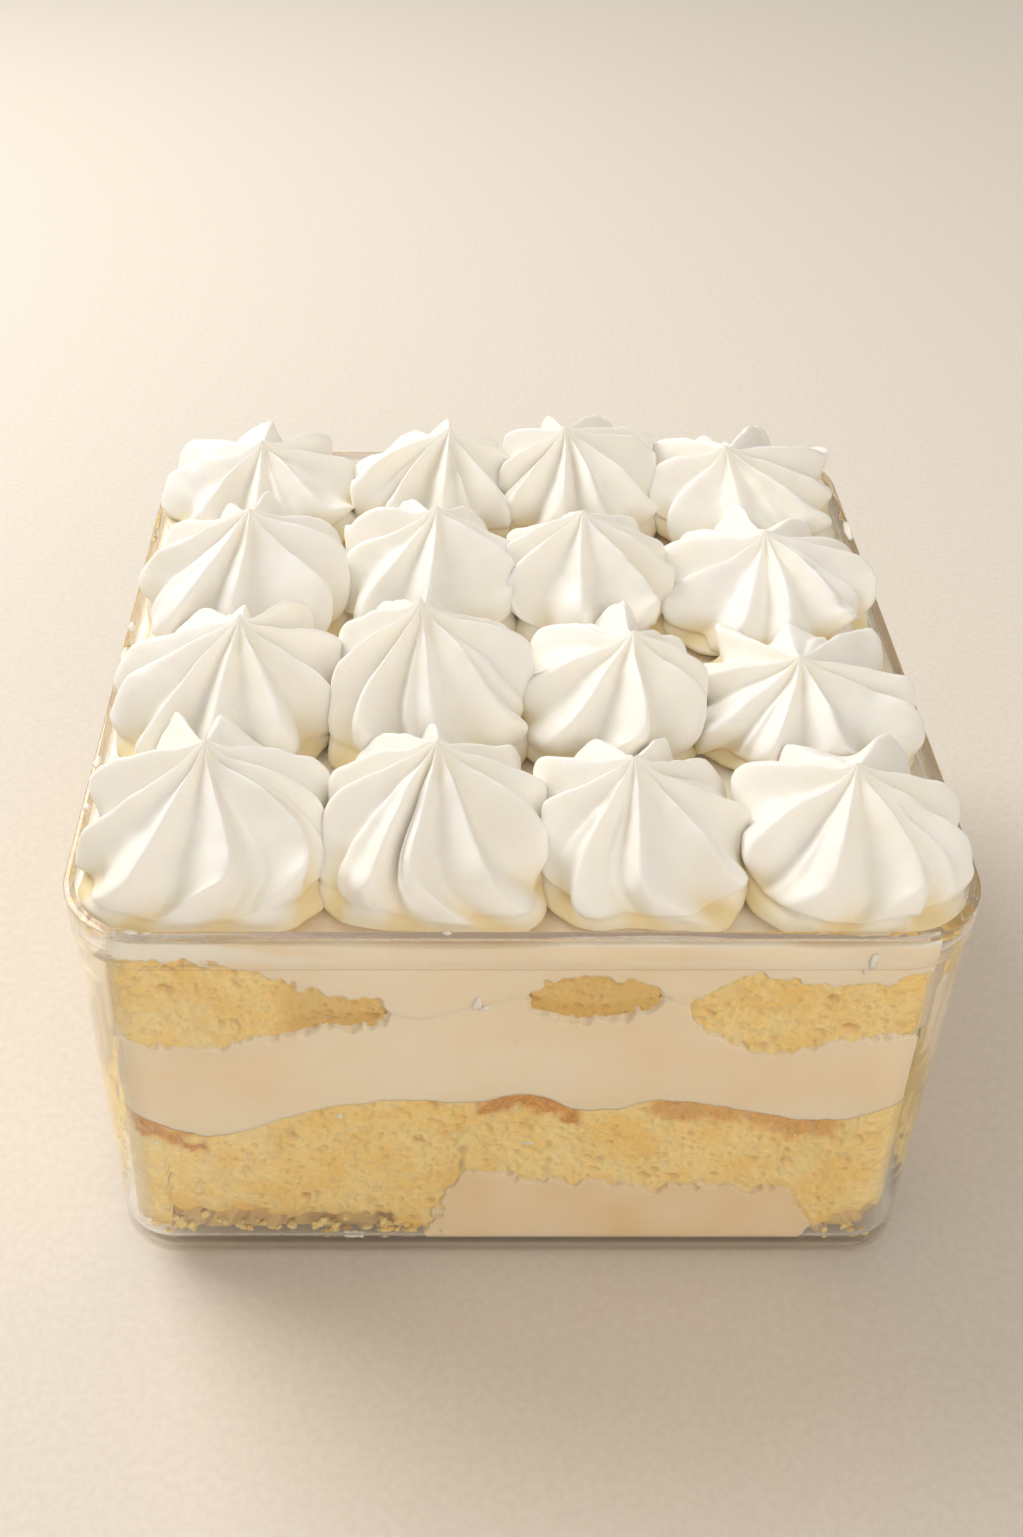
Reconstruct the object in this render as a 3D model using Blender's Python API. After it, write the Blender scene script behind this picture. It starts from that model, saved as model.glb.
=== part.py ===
"""Tres leches cake in its own clear square tub.

Two soaked sponges lie between three creams, and sixteen piped rosettes stand on top. Sizes are in millimetres
and turned to metres by MM. The origin is the centre of the tub's foot, +Z is up and the front faces -Y.
"""

import math
import random

import bmesh
import bpy

MM = 0.001
GAP = 0.3  # air between one solid and the next

# Tub, moulded in clear plastic
TUB_HEIGHT = 65.0
FOOT_HALF = 54.0
WALL_TOP_HALF = 54.65
WALL = 1.1
BAND_BOTTOM = 59.7
BAND_OUTSET = 0.35
RIM_SOFTENING = 0.25
FOOT_CORNER = 8.0
RIM_CORNER = 10.5
FOOT_EDGE = 2.5
FOOT_RING_WIDTH = 2.6
FOOT_RECESS = 1.6
FLOOR_TOP = 3.1
TUB_SIDE_STEPS = (2, 2, 2, 2)
TUB_CORNER_STEPS = 6
EDGE_STEPS = 3

# Layers, by the height of the surfaces between them
LAYER_SIDE_STEPS = (30, 16, 14, 16)
LAYER_CORNER_STEPS = 3
MIDDLE_RING = 0.62
INWARD_SPREAD = 15.0
FILM = 0.8
BOTTOM_CREAM_RISE = 14.0
LOWER_SPONGE_TOP = 33.0
MIDDLE_CREAM_TOP = 48.5
UPPER_SPONGE_TOP = 55.0
TOP_CREAM_TOP = 63.0
THINNEST_SPONGE = 0.7
THINNEST_CREAM = 0.9
LOWEST_INSET = 1.6  # clears the tub's rounded lower edge inside
LOW_INSET = 0.9

# Waves of each surface along the front wall: place across, rise and spread
LOWER_SPONGE_WAVES = (
    (-53, 2.5, 4), (-42, -7.2, 8), (-16, 1.3, 6), (1, 3.2, 3), (10, -1.2, 4), (20, 1.5, 4), (42, -3.6, 7),
    (52, 2.0, 3),
)
MIDDLE_CREAM_WAVES = (
    (-44, -5.2, 7), (-24, 0.8, 6), (-1, 4.4, 5.5), (18.5, 4.8, 4), (33, -5.0, 7), (50, -3.0, 6),
)
UPPER_SPONGE_WAVES = (
    (-44, 4.2, 9), (-24, -2.2, 4), (-11, -5.6, 5), (10, 1.4, 5), (22.5, -3.6, 2.5), (30, 2.4, 3),
    (37, -0.8, 3),
)
TOP_CREAM_WAVES = ((-40, 0.3, 8), (-8, -0.5, 9), (16, 0.3, 6), (38, -0.4, 7))

# Waves on the other three walls: how many there are, how far they are shifted and how high they are
OTHER_WALLS = 3
WAVES_A_WALL = 5
WAVE_SHIFT = 4.0
WAVE_SPREADS = (6, 10)
WAVE_SHARES = (0.35, 1.0)
LOWER_SPONGE_SWING = 3.8
MIDDLE_CREAM_SWING = 3.4
UPPER_SPONGE_SWING = 2.6
TOP_CREAM_SWING = 0.4
BOTTOM_CREAM_SWELL = 0.08
SWELL_LENGTHS = (9, 13)

# Places where the lower sponge comes down to the floor: middle and half size
BARE_PLACES = (
    ((-36, -54), (21, 13)),
    ((54, -54), (12, 14)),
    ((54, 34), (15, 24)),
    ((-54, 44), (14, 19)),
    ((14, 54), (20, 14)),
)
BARE_EDGE = 0.22
BARE_REACH = 0.88  # how far out the thin film of cream goes there
# Raised places under the lower sponge, with air below: middle, rise and spread
SPONGE_LIFTS = (
    ((-46, -52), 4.6, 6),
    ((-28, -52), 1.6, 4),
    ((45, -52), 3.0, 3),
    ((52, 40), 2.5, 7),
    ((-52, 46), 3.0, 6),
)

# Rosettes, in four rows from the front and four columns from the left
ROW_SEAMS = (-53.2, -26.4, 0.0, 26.4, 53.2)
COLUMN_SEAMS = (
    (-53.2, -23.4, 2.6, 27.0, 53.2),
    (-53.2, -23.8, 1.6, 24.6, 53.2),
    (-53.2, -23.9, 0.4, 23.0, 53.2),
    (-53.2, -23.3, 0.5, 24.2, 53.2),
)
PEAKS = (
    ((-37.1, -39.3, 82.0), (-10.1, -39.7, 82.0), (13.0, -39.7, 79.4), (39.4, -39.6, 78.5)),
    ((-35.7, -13.5, 81.0), (-12.3, -13.2, 83.5), (15.7, -13.0, 78.0), (37.3, -15.5, 75.5)),
    ((-37.0, 13.1, 80.3), (-10.2, 13.3, 80.7), (10.7, 13.0, 80.0), (37.6, 14.7, 75.5)),
    ((-37.7, 38.1, 77.0), (-8.2, 38.7, 79.0), (9.7, 38.4, 79.5), (34.9, 37.4, 76.5)),
)
ROSETTE_FOOT = 64.0
RIDGES = (9, 10, 9, 8)
POINTS_A_RIDGE = 4
ROSETTE_LEVELS = (0.0, 0.14, 0.34, 0.52, 0.68, 0.82, 0.93)
CONE_SHARE = 0.42  # share of the height where the top is still a cone
GROOVE_DEPTH = 0.20
GROOVE_AT_PEAK = 0.12
CREST_SHARPNESS = 0.8
FOOT_TUCK = 0.12
TUCK_HEIGHT = 0.25
TWIST = 14.0
LEAN_POWER = 1.5
TRIM_STEP = 0.05
RIDGE_UNEVENNESS = 0.07
ROSETTE_SPREAD = 1.14
CELL_GAP = 0.17

COLOURS = {
    "clear_plastic": ((0.90, 0.91, 0.92), 0.08, 0.30),
    "whipped_cream": ((0.86, 0.83, 0.76), 0.45, 1.0),
    "cream_filling": ((0.80, 0.70, 0.52), 0.50, 1.0),
    "soaked_sponge": ((0.79, 0.60, 0.28), 0.85, 1.0),
}
SHARP_ANGLE = 40
SEED = 16


def clear_scene():
    """Empties the scene."""
    for item in list(bpy.data.objects):
        bpy.data.objects.remove(item, do_unlink=True)


def make_material(name):
    """A Principled material with its colour, roughness and alpha from COLOURS."""
    colour, roughness, alpha = COLOURS[name]
    material = bpy.data.materials.new(name)
    material.use_nodes = True
    shader = material.node_tree.nodes["Principled BSDF"]
    shader.inputs["Base Color"].default_value = (*colour, 1.0)
    shader.inputs["Roughness"].default_value = roughness
    shader.inputs["Metallic"].default_value = 0.0
    shader.inputs["Alpha"].default_value = alpha
    return material


def make_object(name, points, faces, material, collection, parent, place=(0, 0, 0)):
    """One closed solid from points and faces in millimetres round place, smooth except at sharp edges."""
    mesh = bpy.data.meshes.new(name)
    mesh.from_pydata([tuple(MM * value for value in point) for point in points], [], faces)
    work = bmesh.new()
    work.from_mesh(mesh)
    bmesh.ops.recalc_face_normals(work, faces=work.faces)
    work.to_mesh(mesh)
    work.free()
    mesh.shade_smooth()
    mesh.set_sharp_from_angle(angle=math.radians(SHARP_ANGLE))
    mesh.materials.append(material)
    item = bpy.data.objects.new(name, mesh)
    item.location = [MM * value for value in place]
    item.parent = parent
    collection.objects.link(item)
    return item


def rounded_square(half, corner, side_steps, corner_steps):
    """Points round a rounded square, seen from above, counter-clockwise from the left end of the front."""
    straight = half - corner
    points = []
    for side, steps in enumerate(side_steps):
        turn = math.radians(90 * side - 90)
        out = (math.cos(turn), math.sin(turn))
        along = (-out[1], out[0])
        for step in range(steps):
            place = straight * (2 * step / steps - 1)
            points.append((half * out[0] + place * along[0], half * out[1] + place * along[1]))
        middle = (straight * (out[0] + along[0]), straight * (out[1] + along[1]))
        for step in range(corner_steps):
            angle = turn + math.radians(90 * step / corner_steps)
            points.append((middle[0] + corner * math.cos(angle), middle[1] + corner * math.sin(angle)))
    return points


def loft(rings, first_tip=None, last_tip=None):
    """Points and faces through rings of equal count, with a fan at each end to a tip or to the ring's middle."""
    count = len(rings[0])
    points = [point for ring in rings for point in ring]
    faces = []
    for level in range(len(rings) - 1):
        for index in range(count):
            after = (index + 1) % count
            low, high = level * count, (level + 1) * count
            faces.append((low + index, low + after, high + after, high + index))
    for ring_start, ring, tip in ((0, rings[0], first_tip), ((len(rings) - 1) * count, rings[-1], last_tip)):
        if tip is None:
            tip = tuple(sum(point[axis] for point in ring) / count for axis in range(3))
        points.append(tip)
        for index in range(count):
            faces.append((ring_start + index, ring_start + (index + 1) % count, len(points) - 1))
    return points, faces


def wall_at(height):
    """Half width and corner radius of the tub's wall outside, at a height."""
    share = height / TUB_HEIGHT
    half = FOOT_HALF + (WALL_TOP_HALF - FOOT_HALF) * share
    corner = FOOT_CORNER + (RIM_CORNER - FOOT_CORNER) * share
    return half, corner


def make_tub(collection, parent, material):
    """The tub: a foot ring, a soft lower edge, a wall with draft, a rim band and the inside."""
    sections = []

    def section(inset, height, extra=0.0):
        half, corner = wall_at(height)
        sections.append((half - inset + extra, max(corner - inset + extra, 1.0), height))

    foot_outer = FOOT_EDGE
    foot_inner = FOOT_EDGE + FOOT_RING_WIDTH
    section(foot_inner, FOOT_RECESS)
    section(foot_inner, 0.0)
    for step in range(EDGE_STEPS + 1):
        angle = math.radians(90 * step / EDGE_STEPS)
        section(foot_outer * (1 - math.sin(angle)), FOOT_EDGE * (1 - math.cos(angle)))
    section(0.0, BAND_BOTTOM)
    section(0.0, BAND_BOTTOM + BAND_OUTSET, BAND_OUTSET)
    section(0.0, TUB_HEIGHT - RIM_SOFTENING, BAND_OUTSET)
    section(RIM_SOFTENING, TUB_HEIGHT, BAND_OUTSET)
    section(WALL - RIM_SOFTENING, TUB_HEIGHT)
    section(WALL, TUB_HEIGHT - RIM_SOFTENING)
    for step in range(EDGE_STEPS + 1):
        angle = math.radians(90 * step / EDGE_STEPS)
        inset = WALL + FOOT_EDGE * (1 - math.cos(angle))
        section(inset, FLOOR_TOP + FOOT_EDGE * (1 - math.sin(angle)))
    rings = [
        [(x, y, height) for x, y in rounded_square(half, corner, TUB_SIDE_STEPS, TUB_CORNER_STEPS)]
        for half, corner, height in sections
    ]
    points, faces = loft(rings)
    return make_object("tub", points, faces, material, collection, parent)


def other_wall_waves(draw, swing):
    """Waves of one surface along the right, back and left walls: place on the wall, rise and spread."""
    waves = []
    for side in range(OTHER_WALLS):
        turn = math.radians(90 * side)
        for index in range(WAVES_A_WALL):
            place = FOOT_HALF * (2 * (index + 0.5) / WAVES_A_WALL - 1) + draw.uniform(-WAVE_SHIFT, WAVE_SHIFT)
            x = FOOT_HALF * math.cos(turn) - place * math.sin(turn)
            y = FOOT_HALF * math.sin(turn) + place * math.cos(turn)
            rise = (-1) ** (side + index) * swing * draw.uniform(*WAVE_SHARES)
            waves.append((x, y, rise, draw.uniform(*WAVE_SPREADS)))
    return waves


def wave_height(level, front_waves, swing, seed):
    """A function of x and y: the level with its waves along all four walls, which fade inwards."""
    draw = random.Random(seed)
    others = other_wall_waves(draw, swing)

    def height(x, y):
        total = level
        inward = math.exp(-0.5 * ((y + FOOT_HALF) / INWARD_SPREAD) ** 2)
        for place, rise, spread in front_waves:
            total += rise * inward * math.exp(-0.5 * ((x - place) / spread) ** 2)
        for wave_x, wave_y, rise, spread in others:
            far = math.hypot(x - wave_x, y - wave_y) / spread
            total += rise * math.exp(-0.5 * far**2)
        return total

    return height


def bareness(x, y):
    """From 1 where the lower sponge reaches the floor to 0 where the bottom cream is whole."""
    most = 0.0
    for (place_x, place_y), (half_x, half_y) in BARE_PLACES:
        far = math.hypot((x - place_x) / half_x, (y - place_y) / half_y)
        share = min(max((1 + BARE_EDGE - far) / (2 * BARE_EDGE), 0.0), 1.0)
        most = max(most, share * share * (3 - 2 * share))
    return most


def sponge_lift(x, y):
    """How far the lower sponge stands off what is under it, where air shows below it."""
    return sum(
        rise * math.exp(-0.5 * (math.hypot(x - place_x, y - place_y) / spread) ** 2)
        for (place_x, place_y), rise, spread in SPONGE_LIFTS
    )


def layer_heights():
    """The height of each surface between the layers, as functions of x and y, lowest first."""
    lower_sponge = wave_height(LOWER_SPONGE_TOP, LOWER_SPONGE_WAVES, LOWER_SPONGE_SWING, SEED)
    middle_cream = wave_height(MIDDLE_CREAM_TOP, MIDDLE_CREAM_WAVES, MIDDLE_CREAM_SWING, SEED + 1)
    upper_sponge = wave_height(UPPER_SPONGE_TOP, UPPER_SPONGE_WAVES, UPPER_SPONGE_SWING, SEED + 2)
    top_cream = wave_height(TOP_CREAM_TOP, TOP_CREAM_WAVES, TOP_CREAM_SWING, SEED + 3)

    def bottom_cream_top(x, y):
        swell = 1 + BOTTOM_CREAM_SWELL * math.sin(x / SWELL_LENGTHS[0] + y / SWELL_LENGTHS[1])
        return FLOOR_TOP + GAP + FILM + BOTTOM_CREAM_RISE * (1 - bareness(x, y)) * swell

    def upper_sponge_top(x, y):
        return max(upper_sponge(x, y), middle_cream(x, y) + 2 * GAP + THINNEST_SPONGE)

    def top_cream_top(x, y):
        return max(top_cream(x, y), upper_sponge_top(x, y) + GAP + THINNEST_CREAM)

    return bottom_cream_top, lower_sponge, middle_cream, upper_sponge_top, top_cream_top


def surface(height, level, reach=None, inset=0.0, rise=0.0, lift=None):
    """Rings of a surface across the tub, from the wall to the middle ring, and its middle point."""
    half, corner = wall_at(level)
    half -= WALL + GAP + inset
    corner -= WALL + GAP + inset
    outline = rounded_square(half, corner, LAYER_SIDE_STEPS, LAYER_CORNER_STEPS)

    def lifted(x, y):
        return (x, y, height(x, y) + rise + (lift(x, y) if lift else 0.0))

    outer = []
    for x, y in outline:
        share = reach(x, y) if reach else 1.0
        outer.append((x * share, y * share, lifted(x, y)[2]))
    middle = [lifted(x * MIDDLE_RING, y * MIDDLE_RING) for x, y in outline]
    return outer, middle, lifted(0.0, 0.0)


def make_layer(name, under, top, material, collection, parent):
    """A layer of the cake between two surfaces. Under it, each quad is split along its higher diagonal."""
    points = []
    faces = []
    starts = []
    for outer, middle, centre in (under, top):
        starts.append(len(points))
        points += outer + middle + [centre]
    count = len(under[0])
    for start in starts:
        for index in range(count):
            after = (index + 1) % count
            a, b = start + index, start + after
            c, d = a + count, b + count
            if points[a][2] + points[d][2] > points[b][2] + points[c][2]:
                faces += [(a, b, d), (a, d, c)]
            else:
                faces += [(a, b, c), (b, d, c)]
            faces.append((c, d, start + 2 * count))
    for index in range(count):
        after = (index + 1) % count
        faces.append((starts[0] + index, starts[0] + after, starts[1] + after, starts[1] + index))
    return make_object(name, points, faces, material, collection, parent)


def make_layers(collection, parent, cream, sponge):
    """The five layers, from the bottom cream to the top cream."""
    bottom_top, lower_top, middle_top, upper_top, cream_top = layer_heights()
    def bare_reach(x, y):
        return 1 - (1 - BARE_REACH) * bareness(x, y)

    floor = surface(lambda x, y: FLOOR_TOP + GAP, 0.0, bare_reach, inset=LOWEST_INSET)
    bottom_cream = surface(bottom_top, 0.0, bare_reach, inset=LOW_INSET)
    under_lower = surface(bottom_top, 0.0, inset=LOW_INSET, rise=GAP, lift=sponge_lift)
    make_layer("cream_bottom", floor, bottom_cream, cream, collection, parent)
    layers = (
        ("sponge_lower", lower_top, LOWER_SPONGE_TOP, sponge),
        ("cream_middle", middle_top, MIDDLE_CREAM_TOP, cream),
        ("sponge_upper", upper_top, UPPER_SPONGE_TOP, sponge),
        ("cream_top", cream_top, TOP_CREAM_TOP, cream),
    )
    under = under_lower
    for name, height, level, material in layers:
        top = surface(height, level)
        make_layer(name, under, top, material, collection, parent)
        under = surface(height, level, rise=GAP)


def inside_cell(x, y, cell):
    """True where a point is in its rosette's cell and clear of the tub's rounded corner."""
    left, right, front, back = cell
    if not (left <= x <= right and front <= y <= back):
        return False
    half, corner = wall_at(TUB_HEIGHT - RIM_SOFTENING)
    half -= WALL + GAP
    corner -= WALL + GAP
    over_x, over_y = abs(x) - (half - corner), abs(y) - (half - corner)
    return over_x <= 0 or over_y <= 0 or math.hypot(over_x, over_y) <= corner


def crest_share(height_share):
    """Radius of a ridge's crest over the rosette's own: a cone at the top, a full side and a tucked foot."""
    cone = (1 - height_share) / CONE_SHARE
    share = cone / (1 + cone**4) ** 0.25
    tuck = max(1 - height_share / TUCK_HEIGHT, 0.0)
    return share * (1 - FOOT_TUCK * tuck**2)


def make_rosette(row, column, collection, parent, material):
    """A piped rosette: thin ridges with broad grooves between, which gather in an off-centre peak."""
    draw = random.Random(SEED * 100 + row * 10 + column)
    seams = COLUMN_SEAMS[row]
    cell = (
        seams[column] + CELL_GAP,
        seams[column + 1] - CELL_GAP,
        ROW_SEAMS[row] + CELL_GAP,
        ROW_SEAMS[row + 1] - CELL_GAP,
    )
    left, right, front, back = cell
    middle = ((left + right) / 2, (front + back) / 2)
    peak = PEAKS[row][column]
    radius = 0.25 * (right - left + back - front) * ROSETTE_SPREAD
    ridges = RIDGES[(row + column) % len(RIDGES)]
    phase = draw.uniform(0, 360 / ridges)
    twist = draw.choice((-1, 1)) * draw.uniform(0.5, 1.0) * TWIST
    crests = [1 + draw.uniform(-RIDGE_UNEVENNESS, RIDGE_UNEVENNESS) for _ in range(ridges)]
    count = ridges * POINTS_A_RIDGE
    rings = []
    for level in ROSETTE_LEVELS:
        ring = []
        lean = level**LEAN_POWER
        axis = [middle[i] + (peak[i] - middle[i]) * lean for i in range(2)]
        depth = GROOVE_DEPTH + GROOVE_AT_PEAK * level
        for index in range(count):
            ridge = index / POINTS_A_RIDGE
            off_crest = abs(math.sin(math.pi * ridge)) ** CREST_SHARPNESS
            near = ridge - math.floor(ridge)
            crest = crests[int(ridge)] * (1 - near) + crests[(int(ridge) + 1) % ridges] * near
            reach = radius * crest_share(level) * crest * (1 - depth * off_crest)
            angle = math.radians(phase + 360 * index / count + twist * (1 - level) ** 2)
            x, y = axis[0] + reach * math.cos(angle), axis[1] + reach * math.sin(angle)
            while not inside_cell(x, y, cell):
                reach -= TRIM_STEP
                x, y = axis[0] + reach * math.cos(angle), axis[1] + reach * math.sin(angle)
            height = ROSETTE_FOOT + (peak[2] - ROSETTE_FOOT) * level
            ring.append((x - middle[0], y - middle[1], height - ROSETTE_FOOT))
        rings.append(ring)
    tip = (peak[0] - middle[0], peak[1] - middle[1], peak[2] - ROSETTE_FOOT)
    points, faces = loft(rings, last_tip=tip)
    place = (middle[0], middle[1], ROSETTE_FOOT)
    return make_object(f"rosette_{row + 1}_{column + 1}", points, faces, material, collection, parent, place)


def main():
    """Builds the cake and its tub under one empty."""
    clear_scene()
    collection = bpy.data.collections.new("tres_leches_cake")
    bpy.context.scene.collection.children.link(collection)
    parent = bpy.data.objects.new("cake_origin", None)
    collection.objects.link(parent)
    materials = {name: make_material(name) for name in COLOURS}
    make_tub(collection, parent, materials["clear_plastic"])
    make_layers(collection, parent, materials["cream_filling"], materials["soaked_sponge"])
    for row in range(len(PEAKS)):
        for column in range(len(PEAKS[row])):
            make_rosette(row, column, collection, parent, materials["whipped_cream"])


main()
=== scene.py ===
import itertools
import logging
import math
import random
from dataclasses import dataclass, field
from enum import Enum
from typing import Any, Callable

import bpy
import numpy as np
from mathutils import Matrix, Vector
from mathutils.bvhtree import BVHTree


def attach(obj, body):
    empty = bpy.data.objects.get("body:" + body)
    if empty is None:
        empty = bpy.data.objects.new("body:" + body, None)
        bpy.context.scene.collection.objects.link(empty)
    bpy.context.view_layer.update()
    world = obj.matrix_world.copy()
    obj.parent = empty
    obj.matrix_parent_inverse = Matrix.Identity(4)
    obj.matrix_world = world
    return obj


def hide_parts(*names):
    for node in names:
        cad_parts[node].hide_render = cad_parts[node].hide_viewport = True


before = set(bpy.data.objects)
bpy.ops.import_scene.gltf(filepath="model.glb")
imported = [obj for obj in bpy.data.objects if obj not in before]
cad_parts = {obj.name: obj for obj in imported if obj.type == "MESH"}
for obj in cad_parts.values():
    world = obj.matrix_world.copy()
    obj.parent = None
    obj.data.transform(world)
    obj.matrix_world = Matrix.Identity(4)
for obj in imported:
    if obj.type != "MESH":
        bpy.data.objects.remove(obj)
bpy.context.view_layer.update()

# Looks of a tres leches cake in its own clear tub: soaked sponge, smooth cream and piped rosettes.
# Sizes are in millimetres and turned to metres by MM. The front wall faces -Y and +Z is up.

MM = 0.001
LOG = logging.getLogger("tres_leches_cake")
SEED = 16
MERGE_DISTANCE = 2e-7
SMOOTH = {"interpolation_type": "SMOOTHSTEP"}  # a node that maps numbers does it smoothly
COLOURS = {"data_type": "RGBA", "clamp_factor": True}  # a node that mixes takes colours


class Side(Enum):
    """The four walls of the tub, in the order in which its outline goes round."""

    FRONT = 0
    RIGHT = 1
    BACK = 2
    LEFT = 3


class Slot(Enum):
    """Material slots of the record."""

    PLASTIC = "clear_plastic"
    WHIPPED = "whipped_cream"
    FILLING = "cream_filling"
    SPONGE = "soaked_sponge"


def linear(code: str) -> tuple[float, float, float, float]:
    """Turns an sRGB hex colour to linear red, green, blue and alpha 1.

    Args:
        code: Six hex digits after a hash sign.

    Returns:
        The colour as Blender's sockets take it.
    """
    values = [int(code[place : place + 2], 16) / 255 for place in (1, 3, 5)]
    red, green, blue = (
        value / 12.92 if value <= 0.04045 else ((value + 0.055) / 1.055) ** 2.4 for value in values
    )
    return (red, green, blue, 1.0)


def smooth_step(low: float, high: float, value: np.ndarray) -> np.ndarray:
    """Rises smoothly from 0 at low to 1 at high.

    Args:
        low: Where the rise starts. It may be above high, and then the value falls.
        high: Where the rise ends.
        value: Numbers to map.

    Returns:
        Numbers from 0 to 1, in the shape of value.
    """
    share = np.clip((value - low) / (high - low), 0.0, 1.0)
    return share * share * (3 - 2 * share)


def lattice(cells: np.ndarray, seed: int) -> np.ndarray:
    """Fixed pseudo-random numbers for whole-number cells in space.

    Args:
        cells: Whole numbers, three in the last axis.
        seed: Picks another set of numbers.

    Returns:
        One number from 0 to 1 for each cell.
    """
    whole = cells.astype(np.int64).astype(np.uint64)
    mixed = whole[..., 0] * np.uint64(73856093)
    mixed ^= whole[..., 1] * np.uint64(19349663)
    mixed ^= whole[..., 2] * np.uint64(83492791)
    mixed += np.uint64(seed) * np.uint64(2654435761)
    for shift, factor in ((15, 2246822519), (13, 3266489917), (16, 668265263)):
        mixed ^= mixed >> np.uint64(shift)
        mixed = (mixed * np.uint64(factor)) & np.uint64(0xFFFFFFFF)
    return (mixed & np.uint64(0xFFFFFF)).astype(np.float64) / 0xFFFFFF


def soft_noise(points: np.ndarray, size: float, seed: int) -> np.ndarray:
    """Smooth lumps in space, from -1 to 1.

    Args:
        points: Places in millimetres, three numbers in the last axis.
        size: Rough size of a lump in millimetres.
        seed: Picks another set of lumps.

    Returns:
        One number for each point.
    """
    scaled = points / size
    base = np.floor(scaled)
    near = scaled - base
    near = near * near * (3 - 2 * near)
    total = np.zeros(points.shape[:-1])
    for corner in itertools.product((0, 1), repeat=3):
        weight = np.ones(points.shape[:-1])
        for axis, high in enumerate(corner):
            weight = weight * (near[..., axis] if high else 1 - near[..., axis])
        total += weight * lattice(base + np.array(corner), seed)
    return 2 * total - 1


def holes(points: np.ndarray, spacing: float, seed: int, share: float, widest: float = 0.62) -> np.ndarray:
    """Round hollows scattered in space, such as the pores of a sponge.

    Args:
        points: Places in millimetres, three numbers in the last axis.
        spacing: Distance from one hollow to the next in millimetres.
        seed: Picks another set of hollows.
        share: Share of the places that have a hollow.
        widest: Radius of the widest hollow as a share of the spacing.

    Returns:
        0 outside the hollows, rising to 1 in the middle of one.
    """
    scaled = points / spacing
    base = np.floor(scaled)
    deepest = np.zeros(points.shape[:-1])
    for shift in itertools.product((-1, 0, 1), repeat=3):
        cell = base + np.array(shift)
        place = np.stack([lattice(cell, seed + axis) for axis in range(3)], axis=-1)
        chance = lattice(cell, seed + 3)
        radius = widest * (0.45 + 0.55 * lattice(cell, seed + 4)) * (chance < share)
        far = np.linalg.norm(scaled - cell - place, axis=-1)
        inside = np.where(radius > 0, 1 - (far / np.maximum(radius, 1e-6)) ** 2, 0.0)
        deepest = np.maximum(deepest, inside)
    return deepest


def deselect_all() -> None:
    """Leaves object mode with nothing selected."""
    if bpy.context.object and bpy.context.object.mode != "OBJECT":
        bpy.ops.object.mode_set(mode="OBJECT")
    bpy.ops.object.select_all(action="DESELECT")


def wrapped_shell(
    name: str,
    rings: np.ndarray,
    first_tip: np.ndarray,
    last_tip: np.ndarray,
    marks: dict[str, np.ndarray] | None = None,
) -> bpy.types.Object:
    """A closed piece: a grid is wrapped round through the rings, and its seam and poles are merged.

    Args:
        name: Name of the piece.
        rings: Places in millimetres, ring by ring from one tip to the other.
        first_tip: Point that closes the first ring.
        last_tip: Point that closes the last ring.
        marks: Named numbers for each point of the rings, which the material reads.

    Returns:
        The new object, with smooth faces.
    """
    count, columns, _ = rings.shape
    deselect_all()
    bpy.ops.mesh.primitive_grid_add(x_subdivisions=columns, y_subdivisions=count + 1, size=2.0)
    item = bpy.context.object
    item.name = name
    item.data.name = name
    points = np.empty((count + 2, columns + 1, 3))
    points[1:-1, :-1] = rings
    points[1:-1, -1] = rings[:, 0]
    points[0] = first_tip
    points[-1] = last_tip
    item.data.vertices.foreach_set("co", (points * MM).astype(np.float32).ravel())
    for key, values in (marks or {}).items():
        padded = np.empty((count + 2, columns + 1))
        padded[1:-1, :-1] = values
        padded[1:-1, -1] = values[:, 0]
        padded[0] = values[0].mean()
        padded[-1] = values[-1].mean()
        layer = item.data.attributes.new(key, "FLOAT", "POINT")
        layer.data.foreach_set("value", padded.astype(np.float32).ravel())
    bpy.ops.object.mode_set(mode="EDIT")
    bpy.ops.mesh.select_all(action="SELECT")
    bpy.ops.mesh.remove_doubles(threshold=MERGE_DISTANCE)
    bpy.ops.mesh.normals_make_consistent(inside=False)
    bpy.ops.mesh.faces_shade_smooth()
    bpy.ops.object.mode_set(mode="OBJECT")
    return item


def declare(item: bpy.types.Object, material: bpy.types.Material, slot: Slot, *nodes: str) -> None:
    """Dresses a piece, hangs it under the root and hides the CAD nodes that it stands for.

    Args:
        item: The new piece.
        material: Its finish.
        slot: The record's slot that the finish belongs to. It is not used.
        *nodes: CAD nodes that it stands for.
    """
    item.data.materials.clear()
    item.data.materials.append(material)
    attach(item, "root")
    if nodes:
        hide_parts(*nodes)
    triangles = sum(len(face.vertices) - 2 for face in item.data.polygons)
    LOG.info("%s: %d triangles", item.name, triangles)


def add_node(tree: Any, kind: str, inputs: dict[Any, Any] | None = None, **settings: Any) -> Any:
    """Adds a shader node with its settings and links.

    Args:
        tree: Node tree of a material or world.
        kind: Blender's name of the node type, without ShaderNode in front.
        inputs: Socket name or number to a value, or to the output socket that feeds it.
        **settings: Properties of the node.

    Returns:
        The new node.
    """
    node = tree.nodes.new("ShaderNode" + kind)
    for key, value in settings.items():
        setattr(node, key, value)
    for key, value in (inputs or {}).items():
        if isinstance(value, bpy.types.NodeSocket):
            tree.links.new(value, node.inputs[key])
        else:
            node.inputs[key].default_value = value
    return node


def empty_material(name: str) -> tuple[bpy.types.Material, Any]:
    """A material with no nodes yet, and its node tree.

    Args:
        name: Name of the material.

    Returns:
        The material and its node tree.
    """
    material = bpy.data.materials.new(name)
    material.use_nodes = True
    material.node_tree.nodes.clear()
    return material, material.node_tree


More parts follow.
